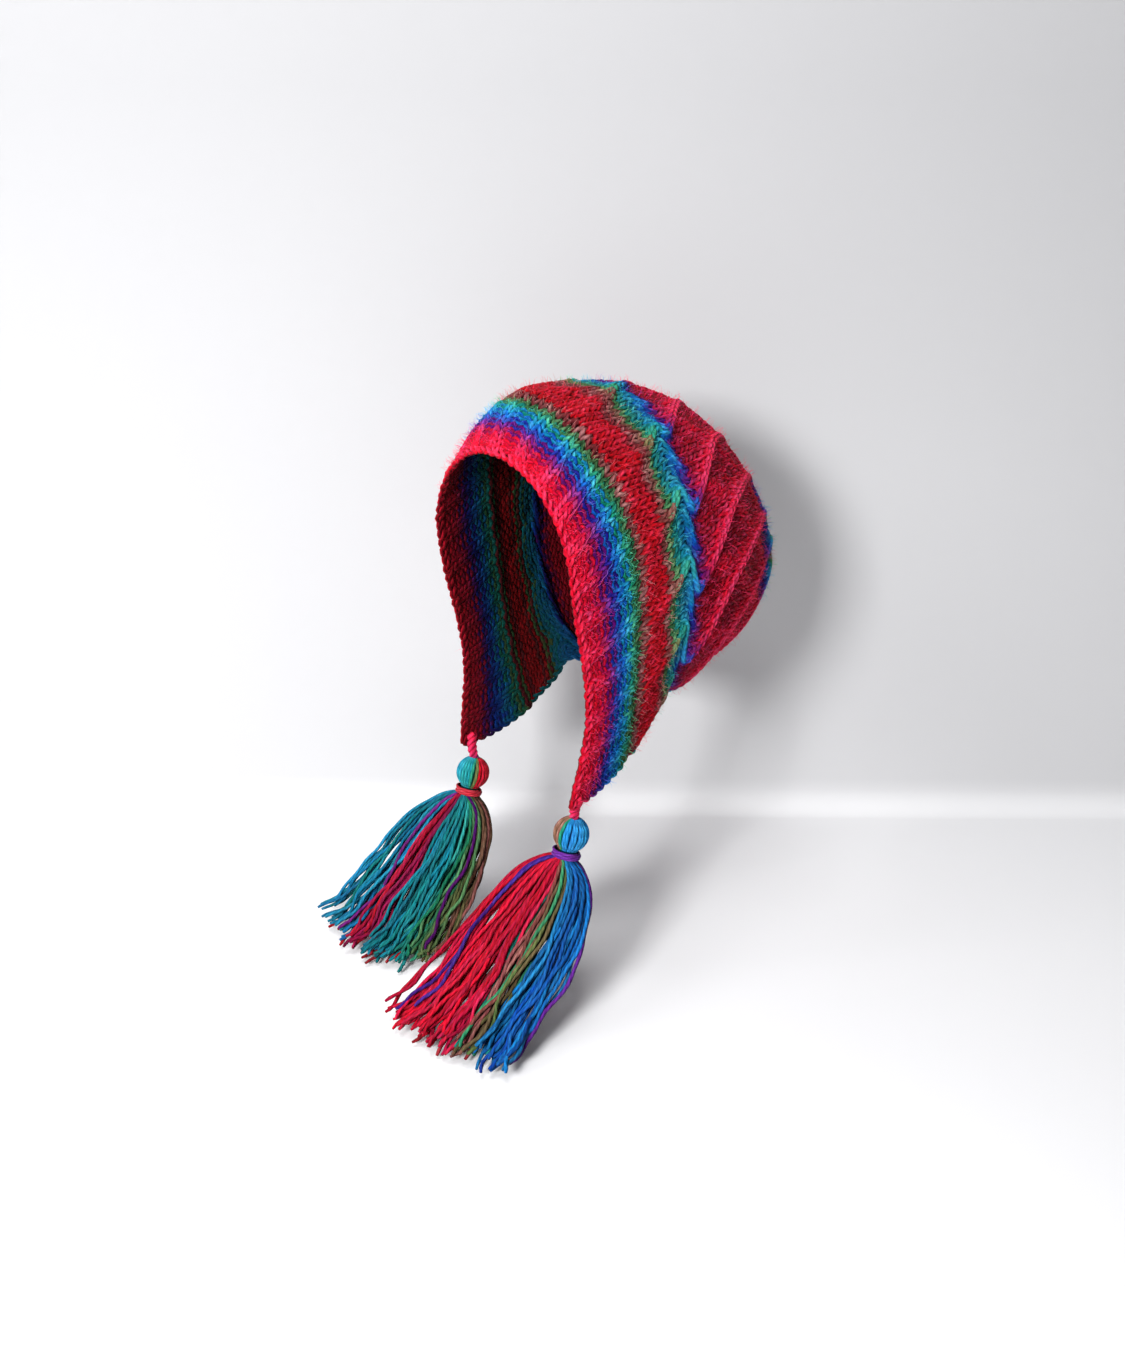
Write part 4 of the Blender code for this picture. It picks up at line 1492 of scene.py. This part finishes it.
@dataclass
class HangingTassel:
    """A flap's twisted tie with its tassel: a ball of folded yarn, a wound neck and a loose skirt."""

    side: Side
    hem: tuple[tuple[float, float], ...]
    colours: TasselColours
    surface: HatSurface
    materials: dict[str, bpy.types.Material]
    loose: LooseStrand = LooseStrand()
    strand_count: int = 122
    ball_strands: int = 26
    ball_yarn_radius: float = 0.00138
    tie_yarn_radius: float = 0.0021
    tie_spread: float = 0.0023
    ball_radius: float = 0.0120
    ball_half_height: float = 0.0112
    neck_radius: float = 0.0074
    binding_height: float = 0.0062
    binding_turns: float = 4.0
    binding_yarn_radius: float = 0.00088
    binding_reach: float = 0.0091
    tilt: float = math.radians(17.0)
    hem_lift: float = 0.0085
    hem_half_thickness: float = 0.0075
    skirt_reach: float = 0.0145
    skirt_flare: float = 0.051
    skirt_landing: float = 0.005
    landing_share: float = 0.28
    tie_turns: float = 1.7
    pieces: list[bpy.types.Object] = field(default_factory=list)
    binding: Vector = field(init=False)
    axis: Vector = field(init=False)
    ball: Vector = field(init=False)
    neck: Vector = field(init=False)
    across: Vector = field(init=False)
    facing: Vector = field(init=False)

    def __post_init__(self) -> None:
        """Works out the tassel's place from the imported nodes."""
        ring_low, ring_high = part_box(f"{self.side.word}_tassel_binding")
        self.binding = (ring_low + ring_high) / 2.0
        self.axis = Vector((0.0, -math.sin(self.tilt), -math.cos(self.tilt)))
        self.ball = self.binding - self.axis * (self.ball_half_height + self.binding_height / 2.0)
        self.neck = self.binding + self.axis * (self.binding_height / 2.0)
        hem = [Vector((out, back, 0.0)) for out, back in self.hem]
        across = hem[2] - hem[0]
        self.across = (across - across.dot(self.axis) * self.axis).normalized()
        facing = self.axis.cross(self.across).normalized()
        self.facing = facing if facing.z > 0.0 else -facing

    def hem_point(self, across: float, height: float) -> Vector:
        """Finds where a strand ends.

        Args:
            across: Place across the bundle, from -1 to 1.
            height: Place through the bundle, from -1 to 1.

        Returns:
            A point of the hem, a little above the floor.
        """
        left, middle, right = (Vector((out, back, 0.0)) for out, back in self.hem)
        place = (across**2 - across) / 2.0 * left
        place = place + (1.0 - across**2) * middle + (across**2 + across) / 2.0 * right
        lift = self.hem_lift + height * self.hem_half_thickness
        return Vector((self.ball.x + place.x, self.ball.y + place.y, FLOOR_Z + lift))

    def strand(self, across: float, height: float, shares: np.ndarray) -> np.ndarray:
        """Follows one strand of the skirt.

        Args:
            across: Place across the bundle, from -1 to 1.
            height: Place through the bundle, from -1 to 1.
            shares: Shares of the strand's length, 0 at the neck.

        Returns:
            Points of the strand's middle.
        """
        start = self.neck + (across * self.across + height * self.facing) * self.neck_radius
        end = self.hem_point(across, height)
        first = start + self.axis * self.skirt_reach + across * self.skirt_flare * self.across
        first = first + height * self.neck_radius * self.facing
        home = Vector((start.x - end.x, start.y - end.y, 0.0)) * self.landing_share
        second = end + home + Vector((0.0, 0.0, self.skirt_landing))
        corners = [np.array(point) for point in (start, first, second, end)]
        s = shares[:, None]
        rest = 1.0 - s
        return (
            rest**3 * corners[0] + 3.0 * rest**2 * s * corners[1]
            + 3.0 * rest * s**2 * corners[2] + s**3 * corners[3]
        )

    def skirt(self) -> None:
        """Makes the loose strands, each a wavy length of yarn with its own colour."""
        rng = np.random.default_rng(11 if self.side is Side.LEFT else 12)
        mesh = YarnMesh(sides=6)
        golden = math.pi * (3.0 - math.sqrt(5.0))
        spots = []
        for number in range(self.strand_count):
            reach = math.sqrt((number + 0.5) / self.strand_count)
            turn = number * golden
            spots.append((reach * math.cos(turn), reach * math.sin(turn), None))
        spots += list(self.colours.accents)
        loose = self.loose
        for across, height, accent in spots:
            shares = np.linspace(loose.root, 1.0 - rng.uniform(0.0, loose.shortest), loose.steps)
            path = self.strand(across * 0.97, height * 0.9, shares)
            sway = np.clip(shares * 1.2, 0.0, 1.0)
            phase = rng.uniform(0.0, 2.0 * math.pi, 4)
            for waves, toward in ((loose.side_waves, self.across), (loose.lift_waves, self.facing)):
                swing = sum(reach * np.sin(pace * shares + phase[n]) for reach, pace, n in waves)
                path = path + (sway * swing)[:, None] * np.array(toward)
            path[:, 2] = np.maximum(path[:, 2], FLOOR_Z + loose.radius * 1.05)
            tone = self.tone_of(across, height, accent, rng)
            drift = np.linspace(0.0, rng.normal(0.0, loose.tone_drift), loose.steps)
            tones = np.clip(tone + drift, 0.0, 1.0)
            # Painted highlight, a little on each strand at random, and painted shade, darker on some
            # strands than on others.
            light = 0.05 + 0.28 * rng.random() ** 2
            radius = loose.radius * (1.0 + loose.unevenness * np.sin(52.0 * shares + phase[0]))
            radius[-1] *= loose.cut_end
            outward = np.broadcast_to(np.array(self.facing), path.shape)
            shade = rng.uniform(*loose.shades)
            shade = shade * (1.0 - loose.shade_drift * np.sin(9.0 * shares + phase[1]))
            mesh.add(path, outward, radius, tones, light, shade=np.clip(shade, 0.0, 1.0))
        word = self.side.word
        self.finish(mesh.build(f"{word}_skirt_strands"), f"{word}_tassel_yarn", f"{word}_tassel")

    def tone_of(
        self, across: float, height: float, accent: float | None, rng: np.random.Generator
    ) -> float:
        """Chooses a strand's colour.

        Args:
            across: Place across the bundle.
            height: Place through the bundle.
            accent: Colour of a strand that stands out, if this is one.
            rng: Source of small differences.

        Returns:
            The strand's place in the colour cycle.
        """
        if accent is not None:
            return accent
        if height < -0.55 and rng.random() < 0.6:
            return self.colours.hidden
        places, tones = self.colours.places, self.colours.tones
        nearest = int(np.searchsorted(places, across + rng.normal(0.0, 0.03)))
        near = min(max(nearest, 1), len(places) - 1)
        share = (across - places[near - 1]) / (places[near] - places[near - 1])
        tone = tones[near - 1] + min(max(share, 0.0), 1.0) * (tones[near] - tones[near - 1])
        return min(max(tone + rng.normal(0.0, 0.012), 0.0), 1.0)

    def ball_yarn(self) -> None:
        """Makes the folded yarn that runs over the ball from its top to the neck."""
        mesh = YarnMesh(sides=7)
        t = np.linspace(0.06, 0.93, 16) * math.pi
        rng = np.random.default_rng(21 if self.side is Side.LEFT else 22)
        axis, across, facing = map(np.array, (self.axis, self.across, self.facing))
        ball = np.array(self.ball)
        for number in range(self.ball_strands):
            angle = 2.0 * math.pi * number / self.ball_strands + rng.normal(0.0, 0.03)
            outward = math.cos(angle) * across + math.sin(angle) * facing
            reach = np.maximum(np.sin(t) * (self.ball_radius - 0.0009), 0.0018)
            reach = np.where(t > 2.0, np.maximum(reach, self.neck_radius - 0.0016), reach)
            drop = (-self.ball_half_height * np.cos(t))[:, None] * axis
            path = ball + reach[:, None] * outward + drop
            places, tones = self.colours.ball_places, self.colours.ball_tones
            tone = float(np.interp(math.cos(angle), places, tones)) + rng.normal(0.0, 0.012)
            out = np.sin(t)[:, None] * outward - np.cos(t)[:, None] * axis
            # Painted highlight, a little on each strand at random.
            light = 0.10 + 0.35 * rng.random()
            mesh.add(path, out, self.ball_yarn_radius, min(max(tone, 0.0), 1.0), light)
        word = self.side.word
        self.finish(mesh.build(f"{word}_ball_yarn"), f"{word}_tassel_yarn", f"{word}_tassel")
        self.core()

    def core(self) -> None:
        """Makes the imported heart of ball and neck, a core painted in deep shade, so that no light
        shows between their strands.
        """
        bm = bmesh.new()
        bmesh.ops.create_uvsphere(bm, u_segments=24, v_segments=14, radius=1.0)
        turn = (-self.axis).to_track_quat("Z", "Y").to_matrix().to_4x4()
        wide, tall = self.ball_radius * 0.9, self.ball_half_height * 0.92
        size = Matrix.Diagonal((wide, wide, tall, 1.0))
        bmesh.ops.transform(bm, matrix=Matrix.Translation(self.ball) @ turn @ size, verts=bm.verts)
        width, length = self.neck_radius * 0.88, self.ball_half_height + self.binding_height
        neck = bmesh.ops.create_cone(
            bm, cap_ends=True, segments=24, radius1=width, radius2=width, depth=length
        )
        middle = self.ball + self.axis * length / 2.0
        bmesh.ops.transform(bm, matrix=Matrix.Translation(middle) @ turn, verts=neck["verts"])
        tone = bm.verts.layers.float.new("tone")
        for vert in bm.verts:
            place = (vert.co - self.ball).dot(self.across) / self.ball_radius
            vert[tone] = float(np.interp(place, self.colours.ball_places, self.colours.ball_tones))
        word = self.side.word
        mesh = bpy.data.meshes.new(f"{word}_ball_core")
        bm.to_mesh(mesh)
        bm.free()
        mesh.shade_smooth()
        piece = add_object(mesh.name, mesh)
        dress(piece, self.materials["knit ground"], (f"{word}_tassel",))
        self.pieces.append(piece)

    def wound_binding(self) -> None:
        """Makes the yarn wound round the neck."""
        mesh = YarnMesh(sides=8)
        t = np.linspace(0.0, 1.0, 120)
        angle = 2.0 * math.pi * self.binding_turns * t
        axis, across, facing = map(np.array, (self.axis, self.across, self.facing))
        outward = around(angle, across, facing)
        slide = (t - 0.5) * (self.binding_height - 2.0 * self.binding_yarn_radius)
        reach = self.binding_reach + 0.0004 * np.sin(0.7 * angle)
        reach[:2] -= 0.0012
        reach[-2:] -= 0.0012
        path = np.array(self.binding) + reach[:, None] * outward + slide[:, None] * axis
        # Painted highlight on the wound yarn's outward side, waxing and waning along its turns.
        light = 0.20 + 0.30 * np.sin(1.7 * angle) ** 2
        mesh.add(path, outward, self.binding_yarn_radius, self.colours.binding, light)
        word = self.side.word
        piece = mesh.build(f"{word}_wound_binding")
        self.finish(piece, f"{word}_binding_yarn", f"{word}_tassel_binding")

    def tie(self) -> None:
        """Makes the tie: three yarns twisted round each other from the flap's tip to the ball."""
        top = np.array(self.flap_tip())
        low = np.array(self.ball - self.axis * (self.ball_half_height - 0.002))
        t = np.linspace(0.0, 1.0, 44)
        bend = np.sin(math.pi * t)[:, None] * np.array((0.0, -0.0015, 0.0))
        line = top + (low - top) * t[:, None] + bend
        along = unit(np.gradient(line, axis=0))
        side = unit(np.cross(along, (0.0, 1.0, 0.0)))
        other = np.cross(along, side)
        mesh = YarnMesh(sides=8)
        for strand in range(3):
            angle = 2.0 * math.pi * (self.tie_turns * t + strand / 3.0)
            outward = around(angle, side, other)
            spread = self.tie_spread * (1.0 - 0.35 * t)
            tone = np.interp(t, (0.0, 0.75, 1.0), (0.0, 0.03, 0.20))
            # Painted highlight on the tie's strands, strongest where each faces sideways out of the
            # twist.
            light = 0.25 + 0.25 * np.abs(np.sin(angle))
            radius = self.tie_yarn_radius * (1.0 - 0.2 * t)
            mesh.add(line + spread[:, None] * outward, outward, radius, tone, light)
        word = self.side.word
        self.finish(mesh.build(f"{word}_tie_twist"), "tie_yarn", f"{word}_tie")

    def flap_tip(self) -> Vector:
        """Finds the middle of the flap's lower edge, a little inside the knitting.

        Returns:
            The point where the tie starts.
        """
        repeat = self.side.value * REPEATS
        tip = self.surface.at(np.array([1.6]), np.array([repeat]), np.array([-WALL_MIDDLE]))[0]
        return Vector(tip) + Vector((0.0, 0.0, 0.006))

    def finish(self, piece: bpy.types.Object, slot: str, node: str) -> None:
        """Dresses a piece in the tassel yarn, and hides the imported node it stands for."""
        dress(piece, self.materials["tassel yarn"], (node,))
        self.pieces.append(piece)

    def build(self) -> list[bpy.types.Object]:
        """Makes every piece of the tassel.

        Returns:
            The pieces.
        """
        self.tie()
        self.ball_yarn()
        self.wound_binding()
        self.skirt()
        return self.pieces


@dataclass(frozen=True)
class StudioLamp:
    """A soft square light that faces the hat, placed as the camera sees it, in metres and watts."""

    name: str
    past_hat: float
    to_right: float
    height: float
    size: float
    power: float


LAMPS = (
    StudioLamp("key", past_hat=-1.15, to_right=-0.54, height=0.34, size=0.30, power=24.0),
    StudioLamp("left", past_hat=-0.60, to_right=-1.20, height=0.70, size=0.7, power=8.0),
    StudioLamp("top", past_hat=-0.55, to_right=-0.15, height=1.6, size=0.8, power=18.0),
)


@dataclass
class Studio:
    """The plain stage, the soft lights and the camera at the photograph's angle."""

    heading: Vector = field(init=False)
    right: Vector = field(init=False)

    def __post_init__(self) -> None:
        """Works out the camera's level heading."""
        self.heading = Vector((-math.sin(CAMERA_AZIMUTH), math.cos(CAMERA_AZIMUTH), 0.0))
        self.right = Vector((math.cos(CAMERA_AZIMUTH), math.sin(CAMERA_AZIMUTH), 0.0))

    def camera(self) -> None:
        """Places the camera."""
        data = bpy.data.cameras.new("camera")
        data.sensor_fit = "VERTICAL"
        data.sensor_height = SENSOR_HEIGHT
        data.sensor_width = SENSOR_HEIGHT
        data.lens = FOCAL_PIXELS / IMAGE_HEIGHT * SENSOR_HEIGHT
        camera = add_object("camera", data)
        yaw = math.atan(AXIS_OFFSET_PIXELS / FOCAL_PIXELS)
        level = math.cos(yaw) * self.heading - math.sin(yaw) * self.right
        look = math.cos(CAMERA_PITCH) * level - Vector((0.0, 0.0, math.sin(CAMERA_PITCH)))
        camera.rotation_euler = look.to_track_quat("-Z", "Y").to_euler()
        camera.location = -CAMERA_REACH * self.heading + Vector((0.0, 0.0, CAMERA_HEIGHT))
        bpy.context.scene.camera = camera

    def stage(self) -> None:
        """Makes the floor and the backdrop as one swept sheet that shows from its front alone."""
        bm = bmesh.new()
        start = bm.verts.new((0.0, -STAGE_SIZE, 0.0))
        turn = bm.verts.new((0.0, BACKDROP_REACH - COVE_RADIUS, 0.0))
        bm.edges.new((start, turn))
        last = turn
        for step in range(1, COVE_STEPS + 1):
            angle = math.pi / 2.0 * step / COVE_STEPS
            y = BACKDROP_REACH - COVE_RADIUS + COVE_RADIUS * math.sin(angle)
            z = COVE_RADIUS * (1.0 - math.cos(angle))
            vert = bm.verts.new((0.0, y, z))
            bm.edges.new((last, vert))
            last = vert
        top = bm.verts.new((0.0, BACKDROP_REACH, STAGE_SIZE / 2.0))
        bm.edges.new((last, top))
        swept = bmesh.ops.extrude_edge_only(bm, edges=bm.edges)
        moved = [part for part in swept["geom"] if isinstance(part, bmesh.types.BMVert)]
        bmesh.ops.translate(bm, verts=moved, vec=(STAGE_SIZE, 0.0, 0.0))
        bmesh.ops.translate(bm, verts=bm.verts, vec=(-STAGE_SIZE / 2.0, 0.0, FLOOR_Z))
        turn_matrix = Matrix.Rotation(CAMERA_AZIMUTH, 4, "Z")
        bmesh.ops.transform(bm, matrix=turn_matrix, verts=bm.verts)
        bmesh.ops.recalc_face_normals(bm, faces=bm.faces)
        bm.faces.ensure_lookup_table()
        floor = max(bm.faces, key=lambda face: -face.calc_center_median().z)
        if floor.normal.z < 0.0:
            bmesh.ops.reverse_faces(bm, faces=bm.faces)
        mesh = bpy.data.meshes.new("backdrop")
        bm.to_mesh(mesh)
        bm.free()
        mesh.shade_smooth()
        mesh.materials.append(self.paper())
        add_object("backdrop", mesh)

    def paper(self) -> bpy.types.Material:
        """Builds the pale paper of the stage, greyer up the wall.

        Returns:
            The new material, clear from behind.
        """
        material = bpy.data.materials.new("pale paper")
        material.use_nodes = True
        tree = material.node_tree
        shader = tree.nodes["Principled BSDF"]
        feed(tree, shader, {"Roughness": 0.95, "Specular IOR Level": 0.1})
        parts = tree.nodes.new("ShaderNodeSeparateXYZ")
        where = tree.nodes.new("ShaderNodeTexCoord").outputs["Object"]
        tree.links.new(where, parts.inputs[0])
        rise = math_node(tree, "SUBTRACT", parts.outputs["Z"], FLOOR_Z)
        tree.links.new(colour_ramp(tree, rise, PAPER_STOPS), shader.inputs["Base Color"])
        clear = tree.nodes.new("ShaderNodeBsdfTransparent")
        mixed = tree.nodes.new("ShaderNodeMixShader")
        back = tree.nodes.new("ShaderNodeNewGeometry")
        tree.links.new(back.outputs["Backfacing"], mixed.inputs[0])
        tree.links.new(shader.outputs[0], mixed.inputs[1])
        tree.links.new(clear.outputs[0], mixed.inputs[2])
        tree.links.new(mixed.outputs[0], tree.nodes["Material Output"].inputs["Surface"])
        return material

    def lamp(self, plan: StudioLamp) -> None:
        """Adds one of the lights.

        Args:
            plan: Where the light stands, and how large and strong it is.
        """
        data = bpy.data.lights.new(plan.name, "AREA")
        data.size = plan.size
        data.energy = plan.power
        lamp = add_object(plan.name, data)
        level = plan.past_hat * self.heading + plan.to_right * self.right
        lamp.location = level + Vector((0.0, 0.0, plan.height))
        aim = Vector(LAMP_AIM) - lamp.location
        lamp.rotation_euler = aim.to_track_quat("-Z", "Y").to_euler()

    def lights(self) -> None:
        """Sets a key and a wide light on the camera's left, one from above, and a pale surround."""
        for plan in LAMPS:
            self.lamp(plan)
        world = bpy.data.worlds.new("surround")
        world.use_nodes = True
        surround = world.node_tree.nodes["Background"]
        surround.inputs["Color"].default_value = SURROUND_COLOUR
        surround.inputs["Strength"].default_value = SURROUND_LIGHT
        bpy.context.scene.world = world
        bpy.context.scene.view_settings.view_transform = "Standard"

    def build(self) -> None:
        """Sets camera, stage and lights."""
        self.camera()
        self.stage()
        self.lights()


def yarn_materials() -> dict[str, bpy.types.Material]:
    """Builds the finishes of all the yarn.

    Returns:
        Materials by name.
    """
    groups = {"yarn colours": yarn_colours(), "yarn fibres": yarn_fibres()}
    finishes = (
        YarnFinish("knitted yarn", depth=0.88, heather=0.07),
        YarnFinish("tassel yarn", depth=0.76, heather=0.10, twist_pitch=0.0068),
        # The ground has no rise attribute, so it is painted in deep shade.
        YarnFinish("knit ground", depth=0.88, lit=0.0, heather=0.0, twist_shade=0.0, relief=0.0),
        # The loose fibres take a strong painted highlight, most at their tips.
        YarnFinish(
            "loose fibres", depth=0.0, lit=1.6, heather=0.0, twist_shade=0.0, relief=0.0, sheen=0.0
        ),
    )
    return {finish.name: finish.material(groups) for finish in finishes}


def main() -> None:
    """Builds the stage, the knitted body and both tassels, and logs how many pieces they make."""
    logging.basicConfig(level=logging.INFO, format="%(name)s %(message)s")
    Studio().build()
    materials = yarn_materials()
    surface = HatSurface()
    pieces = KnittedBody(surface, materials).build()
    pieces += HangingTassel(Side.LEFT, LEFT_HEM, LEFT_COLOURS, surface, materials).build()
    pieces += HangingTassel(Side.RIGHT, RIGHT_HEM, RIGHT_COLOURS, surface, materials).build()
    LOG.info("%d pieces", len(pieces))


if __name__ == "__main__":
    main()
